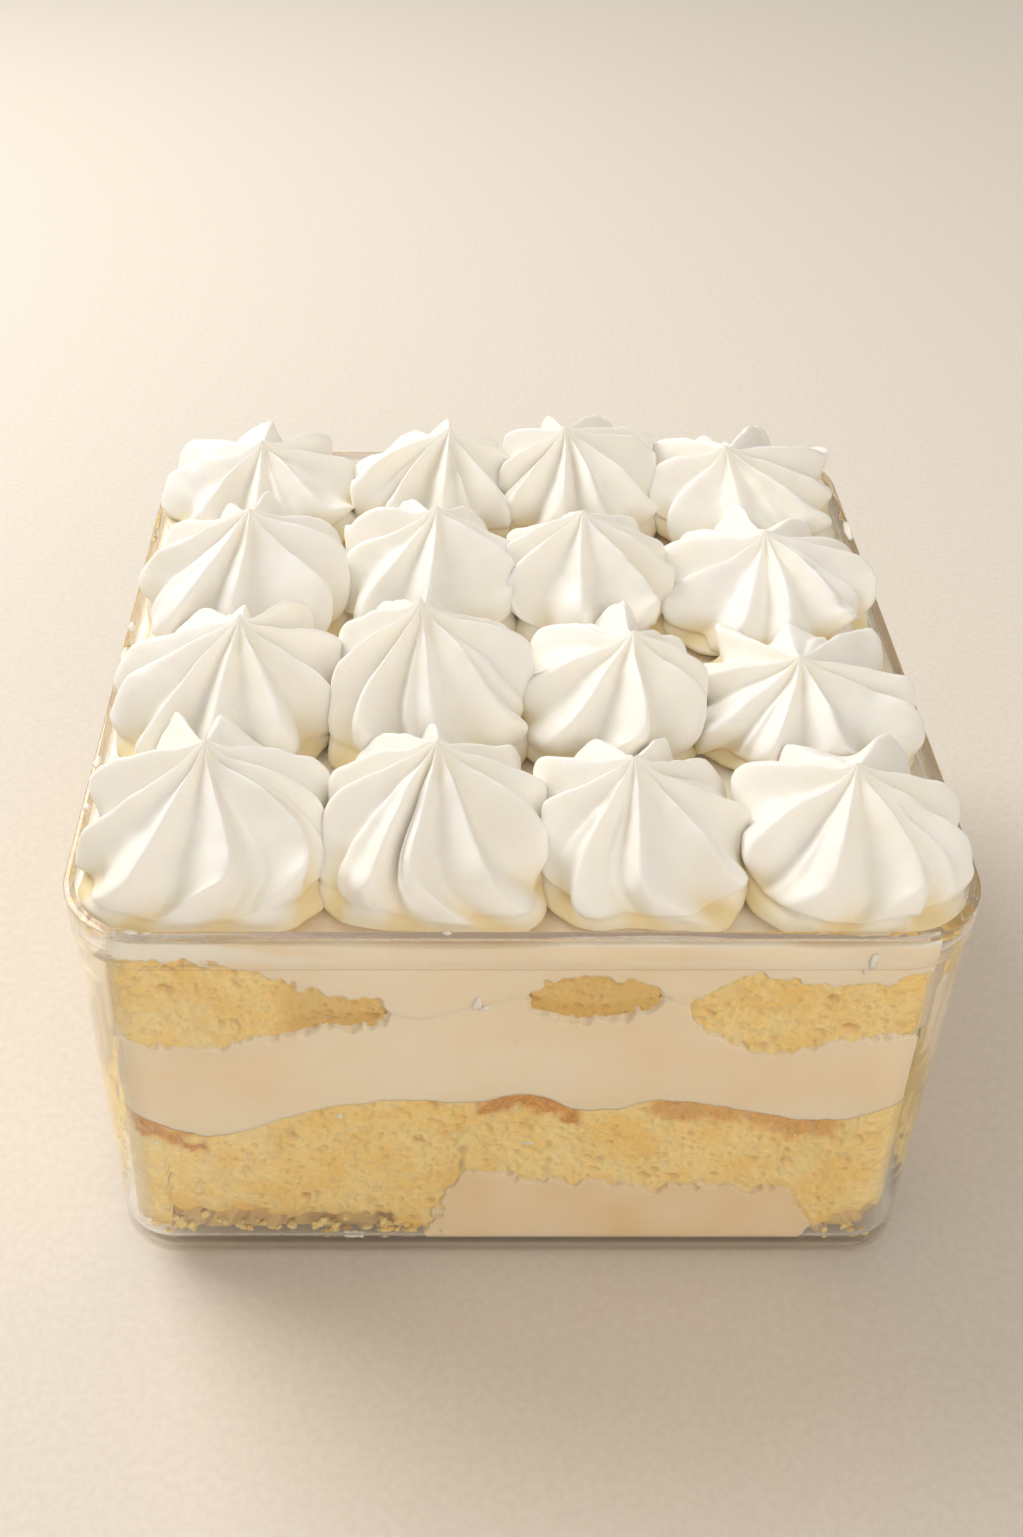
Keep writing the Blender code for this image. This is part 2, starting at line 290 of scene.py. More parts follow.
def food_surface(
    material: bpy.types.Material,
    reliefs: tuple[tuple[Any, float, float], ...],
    radius: tuple[float, float, float],
    settings: dict[str, Any],
) -> bpy.types.Material:
    """Ends a food's material: fine relief, and light that passes a little way in and turns warm.

    Args:
        material: The material, whose tree has its patterns.
        reliefs: Height socket, strength and depth in millimetres of each relief, the finest first.
        radius: How far red, green and blue light spread, as shares of the scale.
        settings: The other sockets of the surface.

    Returns:
        The finished material.
    """
    tree = material.node_tree
    normal = {}
    for height, strength, depth in reliefs:
        inputs = {"Height": height, "Strength": strength, "Distance": depth * MM}
        normal = {"Normal": add_node(tree, "Bump", inputs | normal).outputs[0]}
    inputs = settings | normal | {"Subsurface Radius": radius}
    shader = add_node(tree, "BsdfPrincipled", inputs).outputs[0]
    add_node(tree, "OutputMaterial", {"Surface": shader})
    return material


@dataclass(frozen=True)
class ClearPlastic:
    """General-purpose polystyrene, injection moulded and polished by its mould: clear, with high gloss."""

    name: str = "clear_moulded_polystyrene"
    colour: str = "#F8F8F6"
    ior: float = 1.3  # below the 1.57 of a solid block, so that the thin base stays as light as the real one
    roughness: float = 0.02
    coat: float = 0.6
    painted_edge_shade: str = "#D8D0CC"  # painted shade: a grey tint at the rim and at the band's lower edge, where the eye looks along more plastic
    rim_fade: tuple[float, float] = (64.0, 64.5)
    band_line: tuple[float, float] = (59.2, 60.1)
    line_softness: float = 0.3
    foot_top: float = 3.3
    foot_fade: float = 1.2
    foot_cover: float = 0.3  # the thin foot passes more light than a solid ring does in the renderer
    flow_wave: float = 14.0  # length of the faint waves that the melt leaves in the walls
    flow_strength: float = 0.005

    def material(self) -> bpy.types.Material:
        """The finish as a material. Shadow rays pass, as light does through thin clear walls.

        Returns:
            The clear material.
        """
        material, tree = empty_material(self.name)
        place = add_node(tree, "TexCoord").outputs["Object"]
        pattern = {"Vector": place, "Scale": 1 / (self.flow_wave * MM), "Detail": 1.0}
        waves = add_node(tree, "TexNoise", pattern).outputs[0]
        relief = {"Height": waves, "Strength": self.flow_strength, "Distance": MM}
        bump = add_node(tree, "Bump", relief).outputs[0]
        height = add_node(tree, "SeparateXYZ", {"Vector": place}).outputs["Z"]
        low, high = self.band_line
        ramps = (
            (*self.rim_fade, 0.0),
            (low, low + self.line_softness, 0.0),
            (high, high - self.line_softness, 0.0),
            (self.foot_top, self.foot_top + self.foot_fade, self.foot_cover),
        )
        rim, above, below, cover = (
            add_node(tree, "MapRange", {0: height, 1: start * MM, 2: end * MM, 3: least}, **SMOOTH).outputs[0]
            for start, end, least in ramps
        )
        ledge = add_node(tree, "Math", {0: above, 1: below}, operation="MULTIPLY").outputs[0]
        thick = add_node(tree, "Math", {0: rim, 1: ledge}, operation="MAXIMUM").outputs[0]
        # painted shade: the grey tint at the rim and at the band's lower edge is mixed into the plastic's
        # colour
        tones = {0: thick, 6: linear(self.colour), 7: linear(self.painted_edge_shade)}
        tint = add_node(tree, "Mix", tones, **COLOURS).outputs[2]
        shader = add_node(
            tree,
            "BsdfPrincipled",
            {
                "Base Color": tint,
                "Roughness": self.roughness,
                "IOR": self.ior,
                "Transmission Weight": 1.0,
                "Coat Weight": self.coat,
                "Coat Roughness": self.roughness,
                "Coat IOR": 1.57,
                "Alpha": cover,
                "Normal": bump,
            },
        ).outputs[0]
        passing = add_node(tree, "BsdfTransparent", {"Color": linear(self.colour)}).outputs[0]
        shadow = add_node(tree, "LightPath").outputs["Is Shadow Ray"]
        both = add_node(tree, "MixShader", {0: shadow, 1: shader, 2: passing}).outputs[0]
        add_node(tree, "OutputMaterial", {"Surface": both})
        return material


@dataclass(frozen=True)
class Cream:
    """Whipped milk fat with sugar: smooth, slightly glossy from its fat, and light enters it a little way."""

    name: str
    colour: str
    deeper: str
    # the warm colour: the filling's own warmer tone, and painted shade on the rosettes and at the bottom
    # cream's thin edge
    warm_and_shade_tone: str
    roughness: float = 0.42
    cloud_size: float = 9.0
    grain_size: float = 0.55
    grain_strength: float = 0.10
    bubble_spacing: float = 3.2
    bubble_strength: float = 0.35
    ior: float = 1.45
    shine: float = 0.35
    depth: float = 1.6
    scatter: float = 0.35
    reach: tuple[float, float, float] = (1.0, 0.72, 0.45)  # red light goes further in than blue light

    def material(self) -> bpy.types.Material:
        """The finish as a material. It reads a mark that mixes in the warm colour: the filling's own warmer
        tone, and painted shade in the rosettes' grooves and lower parts and at the bottom cream's thin edge.

        Returns:
            The cream's material.
        """
        material, tree = empty_material(self.name)
        place = add_node(tree, "TexCoord").outputs["Object"]
        sizes = ((self.cloud_size, 3.0), (self.grain_size, 2.0))
        patterns = [{"Vector": place, "Scale": 1 / (size * MM), "Detail": detail} for size, detail in sizes]
        cloud, grain = (add_node(tree, "TexNoise", pattern).outputs[0] for pattern in patterns)
        bubbles = add_node(
            tree,
            "TexVoronoi",
            {"Vector": place, "Scale": 1 / (self.bubble_spacing * MM), "Randomness": 1.0},
            feature="F1",
        ).outputs["Distance"]
        ramps = (
            (cloud, 0.35, 0.72),
            (bubbles, 0.04, 0.11),
            (cloud, 0.3, 0.7, self.roughness - 0.05, self.roughness + 0.06),
        )
        share, pits, rough = (
            add_node(tree, "MapRange", dict(enumerate(ramp)), **SMOOTH).outputs[0] for ramp in ramps
        )
        warm_tone_and_shade = add_node(tree, "Attribute", attribute_name="warm_tone_and_shade").outputs["Fac"]
        tone = linear(self.colour)
        for amount, colour in ((share, self.deeper), (warm_tone_and_shade, self.warm_and_shade_tone)):
            tone = add_node(tree, "Mix", {0: amount, 6: tone, 7: linear(colour)}, **COLOURS).outputs[2]
        settings = {
            "Base Color": tone,
            "Roughness": rough,
            "IOR": self.ior,
            "Specular IOR Level": self.shine,
            "Subsurface Weight": self.scatter,
            "Subsurface Scale": self.depth * MM,
        }
        reliefs = ((grain, self.grain_strength, 0.2), (pits, self.bubble_strength, 0.15))
        return food_surface(material, reliefs, self.reach, settings)


@dataclass(frozen=True)
class Sponge:
    """Egg sponge soaked with sweet milk: an open crumb, pale on its cell walls, with painted shade in its
    pores.
    """

    name: str = "soaked_egg_sponge"
    crumb: str = "#FFE5A4"
    crumb_deeper: str = "#FBD684"
    # painted shade in the pores and in the hollows of the cell pattern
    pore_shade: str = "#D4A24A"
    # painted shade in the upper sponge's hollows, and the darker colour towards the lower sponge's floor and
    # foot
    wet_and_shade: str = "#D8A838"
    crust: str = "#E6AC60"
    crust_dark: str = "#C98A42"
    roughness: float = 0.78
    wet_roughness: float = 0.45
    tone_size: float = 5.0
    cell_size: float = 0.75
    cell_strength: float = 0.3
    grain_size: float = 0.28
    grain_strength: float = 0.35
    ior: float = 1.42
    shine: float = 0.3
    depth: float = 1.3
    scatter: float = 0.25
    reach: tuple[float, float, float] = (1.0, 0.6, 0.25)  # light turns yellow on its way through the crumb

    def material(self) -> bpy.types.Material:
        """The finish as a material. It reads three marks: painted shade in the pores, the crust, and soaked
        milk with painted shade in the upper sponge's hollows.

        Returns:
            The sponge's material.
        """
        material, tree = empty_material(self.name)
        place = add_node(tree, "TexCoord").outputs["Object"]
        sizes = ((self.tone_size, 3.0), (self.grain_size, 2.0))
        patterns = [{"Vector": place, "Scale": 1 / (size * MM), "Detail": detail} for size, detail in sizes]
        patches, grain = (add_node(tree, "TexNoise", pattern).outputs[0] for pattern in patterns)
        cells = add_node(
            tree,
            "TexVoronoi",
            {"Vector": place, "Scale": 1 / (self.cell_size * MM), "Randomness": 1.0},
            feature="SMOOTH_F1",
        ).outputs["Distance"]
        marks = ("pore_shade", "soak_and_shade", "crust")
        pore_shade, soak_and_shade, crust = (
            add_node(tree, "Attribute", attribute_name=mark).outputs["Fac"] for mark in marks
        )
        ramps = (
            (patches, 0.35, 0.7),
            (cells, 0.55, 0.15, 0.0, 0.12),
            (pore_shade, 0.05, 0.75),
            (grain, 0.35, 0.65),
            (soak_and_shade, 0.0, 1.0, self.roughness, self.wet_roughness),
        )
        deeper, cell_shade_share, pore_shade_share, dark, rough = (
            add_node(tree, "MapRange", dict(enumerate(ramp)), **SMOOTH).outputs[0] for ramp in ramps
        )
        browning = {0: dark, 6: linear(self.crust), 7: linear(self.crust_dark)}
        browned = add_node(tree, "Mix", browning, **COLOURS).outputs[2]
        tone = linear(self.crumb)
        # painted shade: the pore colour goes into the cell pattern's hollows and into the pores
        for amount, colour in (
            (deeper, linear(self.crumb_deeper)),
            (cell_shade_share, linear(self.pore_shade)),
            (pore_shade_share, linear(self.pore_shade)),
            (soak_and_shade, linear(self.wet_and_shade)),
            (crust, browned),
        ):
            tone = add_node(tree, "Mix", {0: amount, 6: tone, 7: colour}, **COLOURS).outputs[2]
        settings = {
            "Base Color": tone,
            "Roughness": rough,
            "IOR": self.ior,
            "Specular IOR Level": self.shine,
            "Subsurface Weight": self.scatter,
            "Subsurface Scale": self.depth * MM,
        }
        reliefs = ((grain, self.grain_strength, 0.2), (cells, self.cell_strength, 0.35))
        return food_surface(material, reliefs, self.reach, settings)


@dataclass(frozen=True)
class Tabletop:
    """Matt painted board: pale, warm and even, with a faint grain."""

    name: str = "pale_painted_board"
    colour: str = "#E9E1D6"
    deeper: str = "#E4DBCF"
    grain_size: float = 1.11  # coarser than the real grain, so that it shows
    grain_strength: float = 0.08
    roughness: float = 0.72

    def material(self) -> bpy.types.Material:
        """The finish as a material.

        Returns:
            The board's material.
        """
        material, tree = empty_material(self.name)
        place = add_node(tree, "TexCoord").outputs["Object"]
        pattern = {"Vector": place, "Scale": 1 / (self.grain_size * MM), "Detail": 3.0}
        grain = add_node(tree, "TexNoise", pattern).outputs[0]
        share = add_node(tree, "MapRange", {0: grain, 1: 0.3, 2: 0.7}, **SMOOTH).outputs[0]
        tones = {0: share, 6: linear(self.colour), 7: linear(self.deeper)}
        tone = add_node(tree, "Mix", tones, **COLOURS).outputs[2]
        relief = {"Height": grain, "Strength": self.grain_strength, "Distance": 0.2 * MM}
        bump = add_node(tree, "Bump", relief).outputs[0]
        surface = {"Base Color": tone, "Roughness": self.roughness, "Normal": bump}
        shader = add_node(tree, "BsdfPrincipled", surface).outputs[0]
        add_node(tree, "OutputMaterial", {"Surface": shader})
        return material


@dataclass(frozen=True)
class TubSizes:
    """Sizes of the tub, as in the CAD model."""

    height: float = 65.0
    foot_half: float = 54.0
    top_half: float = 54.65
    wall: float = 1.1
    band_bottom: float = 59.7
    band_outset: float = 0.35
    rim_softening: float = 0.3
    foot_corner: float = 8.0
    rim_corner: float = 10.5
    foot_edge: float = 2.5
    foot_ring: float = 2.6
    foot_recess: float = 1.6
    floor_top: float = 3.1

    def half(self, height: np.ndarray) -> np.ndarray:
        """Half width of the wall outside, at a height."""
        return self.foot_half + (self.top_half - self.foot_half) * height / self.height

    def corner(self, height: np.ndarray) -> np.ndarray:
        """Corner radius of the wall outside, at a height."""
        return self.foot_corner + (self.rim_corner - self.foot_corner) * height / self.height


@dataclass
class Tub:
    """The clear tub: one bevelled square for each section, bridged from the foot ring up and down inside."""

    sizes: TubSizes = field(default_factory=TubSizes)
    corner_steps: int = 14
    edge_steps: int = 7

    def sections(self) -> list[tuple[float, float, float]]:
        """Lays out the tub's sections, from the foot's recess up the wall and down to the floor.

        Returns:
            Half width, corner radius and height of each section.
        """
        tub = self.sizes
        found: list[tuple[float, float, float]] = []

        def add(inset: float, height: float, extra: float = 0.0) -> None:
            """Adds a section that lies inset from the wall's outer face, plus extra outwards."""
            half = tub.half(height) - inset + extra
            found.append((half, max(tub.corner(height) - inset + extra, 1.0), height))

        inner = tub.foot_edge + tub.foot_ring
        add(inner + 0.5, tub.foot_recess)
        add(inner, tub.foot_recess - 0.4)
        add(inner, 0.25)
        add(inner - 0.25, 0.0)
        for step in range(self.edge_steps + 1):
            angle = math.radians(90 * step / self.edge_steps)
            add(tub.foot_edge * (1 - math.sin(angle)), tub.foot_edge * (1 - math.cos(angle)))
        add(0.0, tub.band_bottom - 0.15)
        add(0.0, tub.band_bottom)
        add(0.0, tub.band_bottom + 0.12, tub.band_outset * 0.8)
        add(0.0, tub.band_bottom + 0.35, tub.band_outset)
        soft = tub.rim_softening
        for step in range(4):
            angle = math.radians(30 * step)
            add(soft * (1 - math.cos(angle)), tub.height - soft * (1 - math.sin(angle)), tub.band_outset)
        for step in range(4):
            angle = math.radians(30 * step)
            add(tub.wall - soft * (1 - math.sin(angle)), tub.height - soft * (1 - math.cos(angle)))
        for step in range(self.edge_steps + 1):
            angle = math.radians(90 * step / self.edge_steps)
            inset = tub.wall + tub.foot_edge * (1 - math.cos(angle))
            add(inset, tub.floor_top + tub.foot_edge * (1 - math.sin(angle)))
        return found

    def build(self) -> bpy.types.Object:
        """Makes the tub from its sections with mesh operators.

        Returns:
            The tub as one closed solid.
        """
        sections = self.sections()
        deselect_all()
        half, corner, height = sections[0]
        bpy.ops.mesh.primitive_plane_add(size=2 * half * MM, location=(0, 0, height * MM))
        item = bpy.context.object
        item.name = "clear_tub"
        bpy.ops.object.transform_apply(location=True)
        bpy.ops.object.mode_set(mode="EDIT")
        self.round_corners(corner)
        for half, corner, height in sections[1:]:
            bpy.ops.mesh.select_all(action="DESELECT")
            bpy.ops.mesh.primitive_plane_add(size=2 * half * MM, location=(0, 0, height * MM))
            self.round_corners(corner)
        bpy.ops.object.mode_set(mode="OBJECT")
        self.bridge(item, len(sections))
        return item

    def round_corners(self, corner: float) -> None:
        """Bevels the four corners of the selected square."""
        bpy.ops.mesh.bevel(offset=corner * MM, segments=self.corner_steps, affect="VERTICES")

    def bridge(self, item: bpy.types.Object, count: int) -> None:
        """Joins each section to the next one and closes the shell.

        Args:
            item: The object that holds all the sections.
            count: How many sections it holds.
        """
        around = 4 * (self.corner_steps + 1)
        mesh = item.data
        if len(mesh.vertices) != around * count:
            raise ValueError("a section of the tub has another number of points")
        bpy.ops.object.mode_set(mode="EDIT")
        bpy.ops.mesh.select_mode(type="FACE")
        bpy.ops.mesh.select_all(action="DESELECT")
        bpy.ops.object.mode_set(mode="OBJECT")
        for face in mesh.polygons:
            face.select = around <= face.vertices[0] < around * (count - 1)
        bpy.ops.object.mode_set(mode="EDIT")
        bpy.ops.mesh.delete(type="ONLY_FACE")
        bpy.ops.mesh.select_mode(type="EDGE")
        for level in range(count - 1):
            bpy.ops.mesh.select_all(action="DESELECT")
            bpy.ops.object.mode_set(mode="OBJECT")
            for edge in mesh.edges:
                first, second = (place // around for place in edge.vertices)
                edge.select = first == second and first in (level, level + 1)
            bpy.ops.object.mode_set(mode="EDIT")
            bpy.ops.mesh.bridge_edge_loops()
        bpy.ops.mesh.select_all(action="SELECT")
        bpy.ops.mesh.normals_make_consistent(inside=False)
        bpy.ops.object.mode_set(mode="OBJECT")
        deselect_all()
        item.select_set(True)
        bpy.context.view_layer.objects.active = item
        bpy.ops.object.shade_smooth_by_angle(angle=math.radians(32))

    def dress(self, item: bpy.types.Object) -> None:
        """Gives the tub its clear plastic."""
        declare(item, ClearPlastic().material(), Slot.PLASTIC, "tub")


class InnerWall:
    """The inner face of the tub's wall, cut into columns that go once round it."""

    def __init__(self, sizes: TubSizes, side_steps: tuple[int, int, int, int], corner_steps: int) -> None:
        """Lays out the columns.

        Args:
            sizes: Sizes of the tub.
            side_steps: Columns on the front, right, back and left wall.
            corner_steps: Columns in each corner.
        """
        self.sizes = sizes
        straight, outward, sides = [], [], []
        for side, steps in zip(Side, side_steps):
            turn = math.radians(90 * side.value - 90)
            out = np.array((math.cos(turn), math.sin(turn)))
            along = np.array((-out[1], out[0]))
            for step in range(steps):
                straight.append(out + (2 * step / steps - 1) * along)
                outward.append(out)
                sides.append(side.value)
            for step in range(corner_steps):
                angle = turn + math.radians(90 * step / corner_steps)
                straight.append(out + along)
                outward.append(np.array((math.cos(angle), math.sin(angle))))
                sides.append(side.value)
        self.straight = np.array(straight)
        self.outward = np.array(outward)
        self.side = np.array(sides)
        self.count = len(straight)
        turned = np.arctan2(self.outward[:, 1], self.outward[:, 0])
        self.corner_share = smooth_step(0.55, 1.0, np.abs(np.sin(2 * turned)))
        middle = self.points(np.full((1, self.count), sizes.height / 2), 0.0)[0]
        self.across = middle[:, 0]
        self.middle = middle
        steps_along = np.linalg.norm(np.roll(middle, -1, axis=0) - middle, axis=1)
        self.along = np.concatenate(([0.0], np.cumsum(steps_along)[:-1]))
        self.length = float(steps_along.sum())

    def points(self, height: np.ndarray, inset: Any) -> np.ndarray:
        """Places on the wall or behind it.

        Args:
            height: Heights in millimetres, with the columns in the last axis.
            inset: How far the places lie behind the wall's inner face. Below 0 is in the wall.

        Returns:
            Places in millimetres, three numbers in a new last axis.
        """
        tub = self.sizes
        half = tub.half(height) - tub.wall
        corner = tub.corner(height) - tub.wall
        over_floor = tub.floor_top + tub.foot_edge - height
        curve = np.clip(over_floor / tub.foot_edge, 0.0, 1.0)
        inset = inset + tub.foot_edge * (1 - np.sqrt(1 - curve * curve))
        flat = (half - corner)[..., None] * self.straight + (corner - inset)[..., None] * self.outward
        return np.concatenate([flat, np.broadcast_to(height[..., None], flat.shape[:-1] + (1,))], axis=-1)

    def smoothed(self, values: np.ndarray, spread: float) -> np.ndarray:
        """Values for the columns, smoothed along the wall.

        Args:
            values: One number a column.
            spread: Width of the smoothing in millimetres.

        Returns:
            The smoothed numbers.
        """
        grid = np.linspace(0, self.length, 2048, endpoint=False)
        even = np.interp(grid, self.along, values, period=self.length)
        cycles = np.fft.rfftfreq(len(grid), self.length / len(grid))
        kept = np.fft.rfft(even) * np.exp(-2 * (math.pi * cycles * spread) ** 2)
        return np.interp(self.along, grid, np.fft.irfft(kept, len(grid)), period=self.length)

    def on_front(self, low: float, high: float, soft: float = 1.5) -> np.ndarray:
        """1 for the front wall's columns from low to high across, falling to 0 beside them."""
        inside = smooth_step(low - soft, low, self.across) * smooth_step(high + soft, high, self.across)
        return inside * (self.side == Side.FRONT.value)


def node_tree(name: str) -> BVHTree:
    """A CAD node's faces, for casting rays at them.

    Args:
        name: Name of the node.

    Returns:
        The tree that rays are cast at.
    """
    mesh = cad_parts[name].data
    corners = [tuple(point.co) for point in mesh.vertices]
    return BVHTree.FromPolygons(corners, [tuple(face.vertices) for face in mesh.polygons])


@dataclass
class LayerEdges:
    """Heights at the wall of the surfaces between the layers, read from the CAD nodes and made finer."""

    wall: InnerWall
    ray_inset: float = 1.6
    ray_height: float = 8.0  # the rays are cast where the wall's inner face is at this height
    smoothing: float = 1.1

    def read(self, name: str, from_above: bool) -> np.ndarray:
        """Height of a node's upper or lower surface close to the wall, for each column.

        Args:
            name: Name of the CAD node.
            from_above: True for the upper surface and False for the lower one.

        Returns:
            Heights in millimetres. Where the node doesn't come near the wall the number is not a number.
        """
        tree = node_tree(name)
        start_height = 100.0 if from_above else -10.0
        way = Vector((0, 0, -1 if from_above else 1))
        places = self.wall.points(np.full((1, self.wall.count), self.ray_height), self.ray_inset)[0]
        heights = []
        for x, y, _ in places:
            found = tree.ray_cast(Vector((x, y, start_height)) * MM, way)[0]
            heights.append(found.z / MM if found else math.nan)
        return np.array(heights)

    def ragged(self, size: float, swing: float, seed: int) -> np.ndarray:
        """A small unevenness for each column.

        Args:
            size: Length of one wave in millimetres.
            swing: Height of the highest wave.
            seed: Picks another line.

        Returns:
            Heights to add, in millimetres.
        """
        return swing * soft_noise(self.wall.middle, size, seed)

    def surface(self, name: str, from_above: bool) -> np.ndarray:
        """Height of a node's upper or lower surface, without the facets of the CAD model."""
        return self.wall.smoothed(self.read(name, from_above), self.smoothing)


@dataclass
class CakeLayers:
    """The five layers, each pressed against the clear wall and shaped down to its pores and smears."""

    sizes: TubSizes = field(default_factory=TubSizes)
    side_steps: tuple[int, int, int, int] = (400, 200, 190, 200)
    corner_steps: int = 26
    contact: float = -0.12  # cream that wets the wall reaches just into it, so that no air shows
    sponge_contact: float = -0.07
    cream_corner: float = 0.2  # the food's corners are rounder than the tub's
    sponge_corner: float = 0.25
    inward_spread: float = 12.0
    lap: float = 1.2  # how far two creams overlap where the sponge between them is pinched off
    pinched: tuple[float, float] = (2.9, 1.9)  # the creams start to meet at the first thickness of the sponge
    fray_down: float = 2.6
    fray_across: float = 4.5
    fray_edge: float = 1.9
    tear_depth: float = 0.9
    foot_gap: float = 3.8  # height of the lower sponge's ragged foot over the tub's floor
    foot_lifts: tuple[tuple[float, float, float], ...] = ((-60, -47, 4.0), (44.5, 60, 3.0), (-47, -17, 3.0))
    browned: tuple[tuple[float, float, float], ...] = ((-62, -41, 1.3), (-4, 7, 1.2), (18, 40, 0.7))
    browned_corner: tuple[float, float] = (-48.0, -51.0)
    hollows: tuple[tuple[float, float, float], ...] = ((-27, -12, 4), (-3, 18, 3))
    deepest_pore: float = 1.9
    cap_shares: tuple[float, ...] = (0.985, 0.94, 0.8, 0.5, 0.2)

    def __post_init__(self) -> None:
        """Reads the edges of all layers."""
        self.wall = InnerWall(self.sizes, self.side_steps, self.corner_steps)
        edges = LayerEdges(self.wall)
        wall = self.wall
        self.lower_top = edges.surface("sponge_lower", True)
        self.lower_top += edges.ragged(2.2, 0.28, 21) + edges.ragged(0.9, 0.12, 22)
        upper_bottom = edges.surface("sponge_upper", False)
        upper_top = edges.surface("sponge_upper", True)
        upper_bottom += edges.ragged(3.0, 0.6, 23) + edges.ragged(1.1, 0.55, 24)
        upper_top += edges.ragged(3.4, 0.5, 25) + edges.ragged(1.2, 0.3, 26)
        closing = smooth_step(*self.pinched, wall.smoothed(upper_top - upper_bottom, 0.8))
        middle = (upper_top + upper_bottom) / 2
        self.upper_bottom = upper_bottom
        self.upper_top = upper_top
        self.closing = closing
        self.middle_cream_top = upper_bottom + closing * (middle - upper_bottom + self.lap)
        self.top_cream_bottom = upper_top - closing * (upper_top - middle + self.lap)
        self.top_cream_top = edges.surface("cream_top", True)
        self.top_cream_top += edges.ragged(5.0, 0.25, 27)
        bottom_top = edges.read("cream_bottom", True)
        missing = np.isnan(bottom_top)
        bottom_top = np.where(missing, self.sizes.floor_top, bottom_top)
        self.bottom_cream_top = wall.smoothed(wall.smoothed(bottom_top, edges.smoothing), 1.9)
        self.bare = smooth_step(10.0, 6.0, self.bottom_cream_top)
        self.to_bare = self.distance_to_bare()
        self.bottom_cream_top += edges.ragged(4.0, 1.3, 28) + edges.ragged(1.3, 0.8, 29)
        foot = self.sizes.floor_top + self.foot_gap + edges.ragged(7.0, 1.8, 30)
        foot = foot + edges.ragged(1.6, 1.5, 31) + edges.ragged(0.8, 0.4, 32)
        for low, high, lift in self.foot_lifts:
            foot = foot + lift * wall.on_front(low, high, 3)
        foot = np.maximum(foot, self.sizes.floor_top + 0.35)
        at_end = smooth_step(self.fray_across + 1.5, self.fray_across, self.to_bare)
        self.lower_bottom = (1 - at_end) * (self.bottom_cream_top - self.fray_down) + at_end * foot
        LOG.info("wall columns: %d", wall.count)

    def distance_to_bare(self) -> np.ndarray:
        """How far each column is from the nearest one where the sponge comes down to the floor.

        Returns:
            One distance in millimetres for each column.
        """
        places = self.wall.middle[..., :2].reshape(-1, 2)
        bare = places[self.bare > 0.5]
        if not len(bare):
            return np.full(len(places), 1000.0)
        return np.linalg.norm(places[:, None] - bare[None], axis=-1).min(axis=1)

    def frayed(self, points: np.ndarray, share: np.ndarray, seed: int) -> np.ndarray:
        """Where a cream's thin edge is torn, so that the crumb behind it shows.

        Args:
            points: Places on the wall.
            share: 0 at the cream's edge and 1 where the last tears end.
            seed: Picks other tears.

        Returns:
            1 in a tear and 0 where the cream lies on the wall.
        """
        tears = 0.9 * soft_noise(points, 1.9, seed) + 0.7 * soft_noise(points, 0.9, seed + 1)
        return smooth_step(-0.12, 0.12, tears + 1.0 - 2.0 * share)

    def cap(self, edge: np.ndarray, level: float, edge_drop: float) -> np.ndarray:
        """Rings of a layer's upper or lower surface, from the wall inwards.

        Args:
            edge: Height at the wall for each column.
            level: Height in the middle of the cake.
            edge_drop: How much the surface moves off its neighbour just behind the wall.

        Returns:
            The rings' places in millimetres.
        """
        rings = []
        outline = self.wall.points(edge[None, :], 0.0)[0]
        for share in self.cap_shares:
            behind = (1 - share) * self.sizes.foot_half
            fade = math.exp(-behind / self.inward_spread)
            height = level + (edge + edge_drop - level) * fade
            rings.append(np.concatenate([outline[:, :2] * share, height[:, None]], axis=1))
        return np.array(rings)

    def layer(
        self,
        name: str,
        under: np.ndarray,
        top: np.ndarray,
        levels: tuple[float, float],
        rows: int,
        inset: np.ndarray,
        marks: dict[str, np.ndarray],
    ) -> bpy.types.Object:
        """One layer as a closed shell.

        Args:
            name: Name of the piece.
            under: Height of its lower edge at the wall for each column.
            top: Height of its upper edge at the wall for each column.
            levels: Height of its lower and upper surface in the middle of the cake.
            rows: Rows of points on the wall's side.
            inset: How far each of those points lies behind the wall.
            marks: Numbers for those points, which the material reads.

        Returns:
            The layer.
        """
        share = np.linspace(0, 1, rows)[:, None]
        heights = under + (top - under) * share
        side = self.wall.points(heights, inset)
        low_cap = self.cap(under, levels[0], 0.25)[::-1]
        high_cap = self.cap(top, levels[1], -0.25)
        rings = np.concatenate([low_cap, side, high_cap])
        more = len(self.cap_shares)
        padded = {
            key: np.concatenate([np.repeat(mark[:1], more, 0), mark, np.repeat(mark[-1:], more, 0)])
            for key, mark in marks.items()
        }
        tips = [np.array((0.0, 0.0, level)) for level in levels]
        return wrapped_shell(name, rings, tips[0], tips[1], padded)

    def side_points(self, under: np.ndarray, top: np.ndarray, rows: int) -> np.ndarray:
        """Places of a layer's rows on the wall, before they are set back."""
        share = np.linspace(0, 1, rows)[:, None]
        return self.wall.points(under + (top - under) * share, 0.0)

    def tucked(self, heights: np.ndarray, under: np.ndarray, top: np.ndarray) -> np.ndarray:
        """How far a sponge's edge is set back, so that the cream beside it lies over it."""
        from_edge = np.minimum(heights - under, top - heights)
        return 0.9 * smooth_step(0.55, 0.0, from_edge)

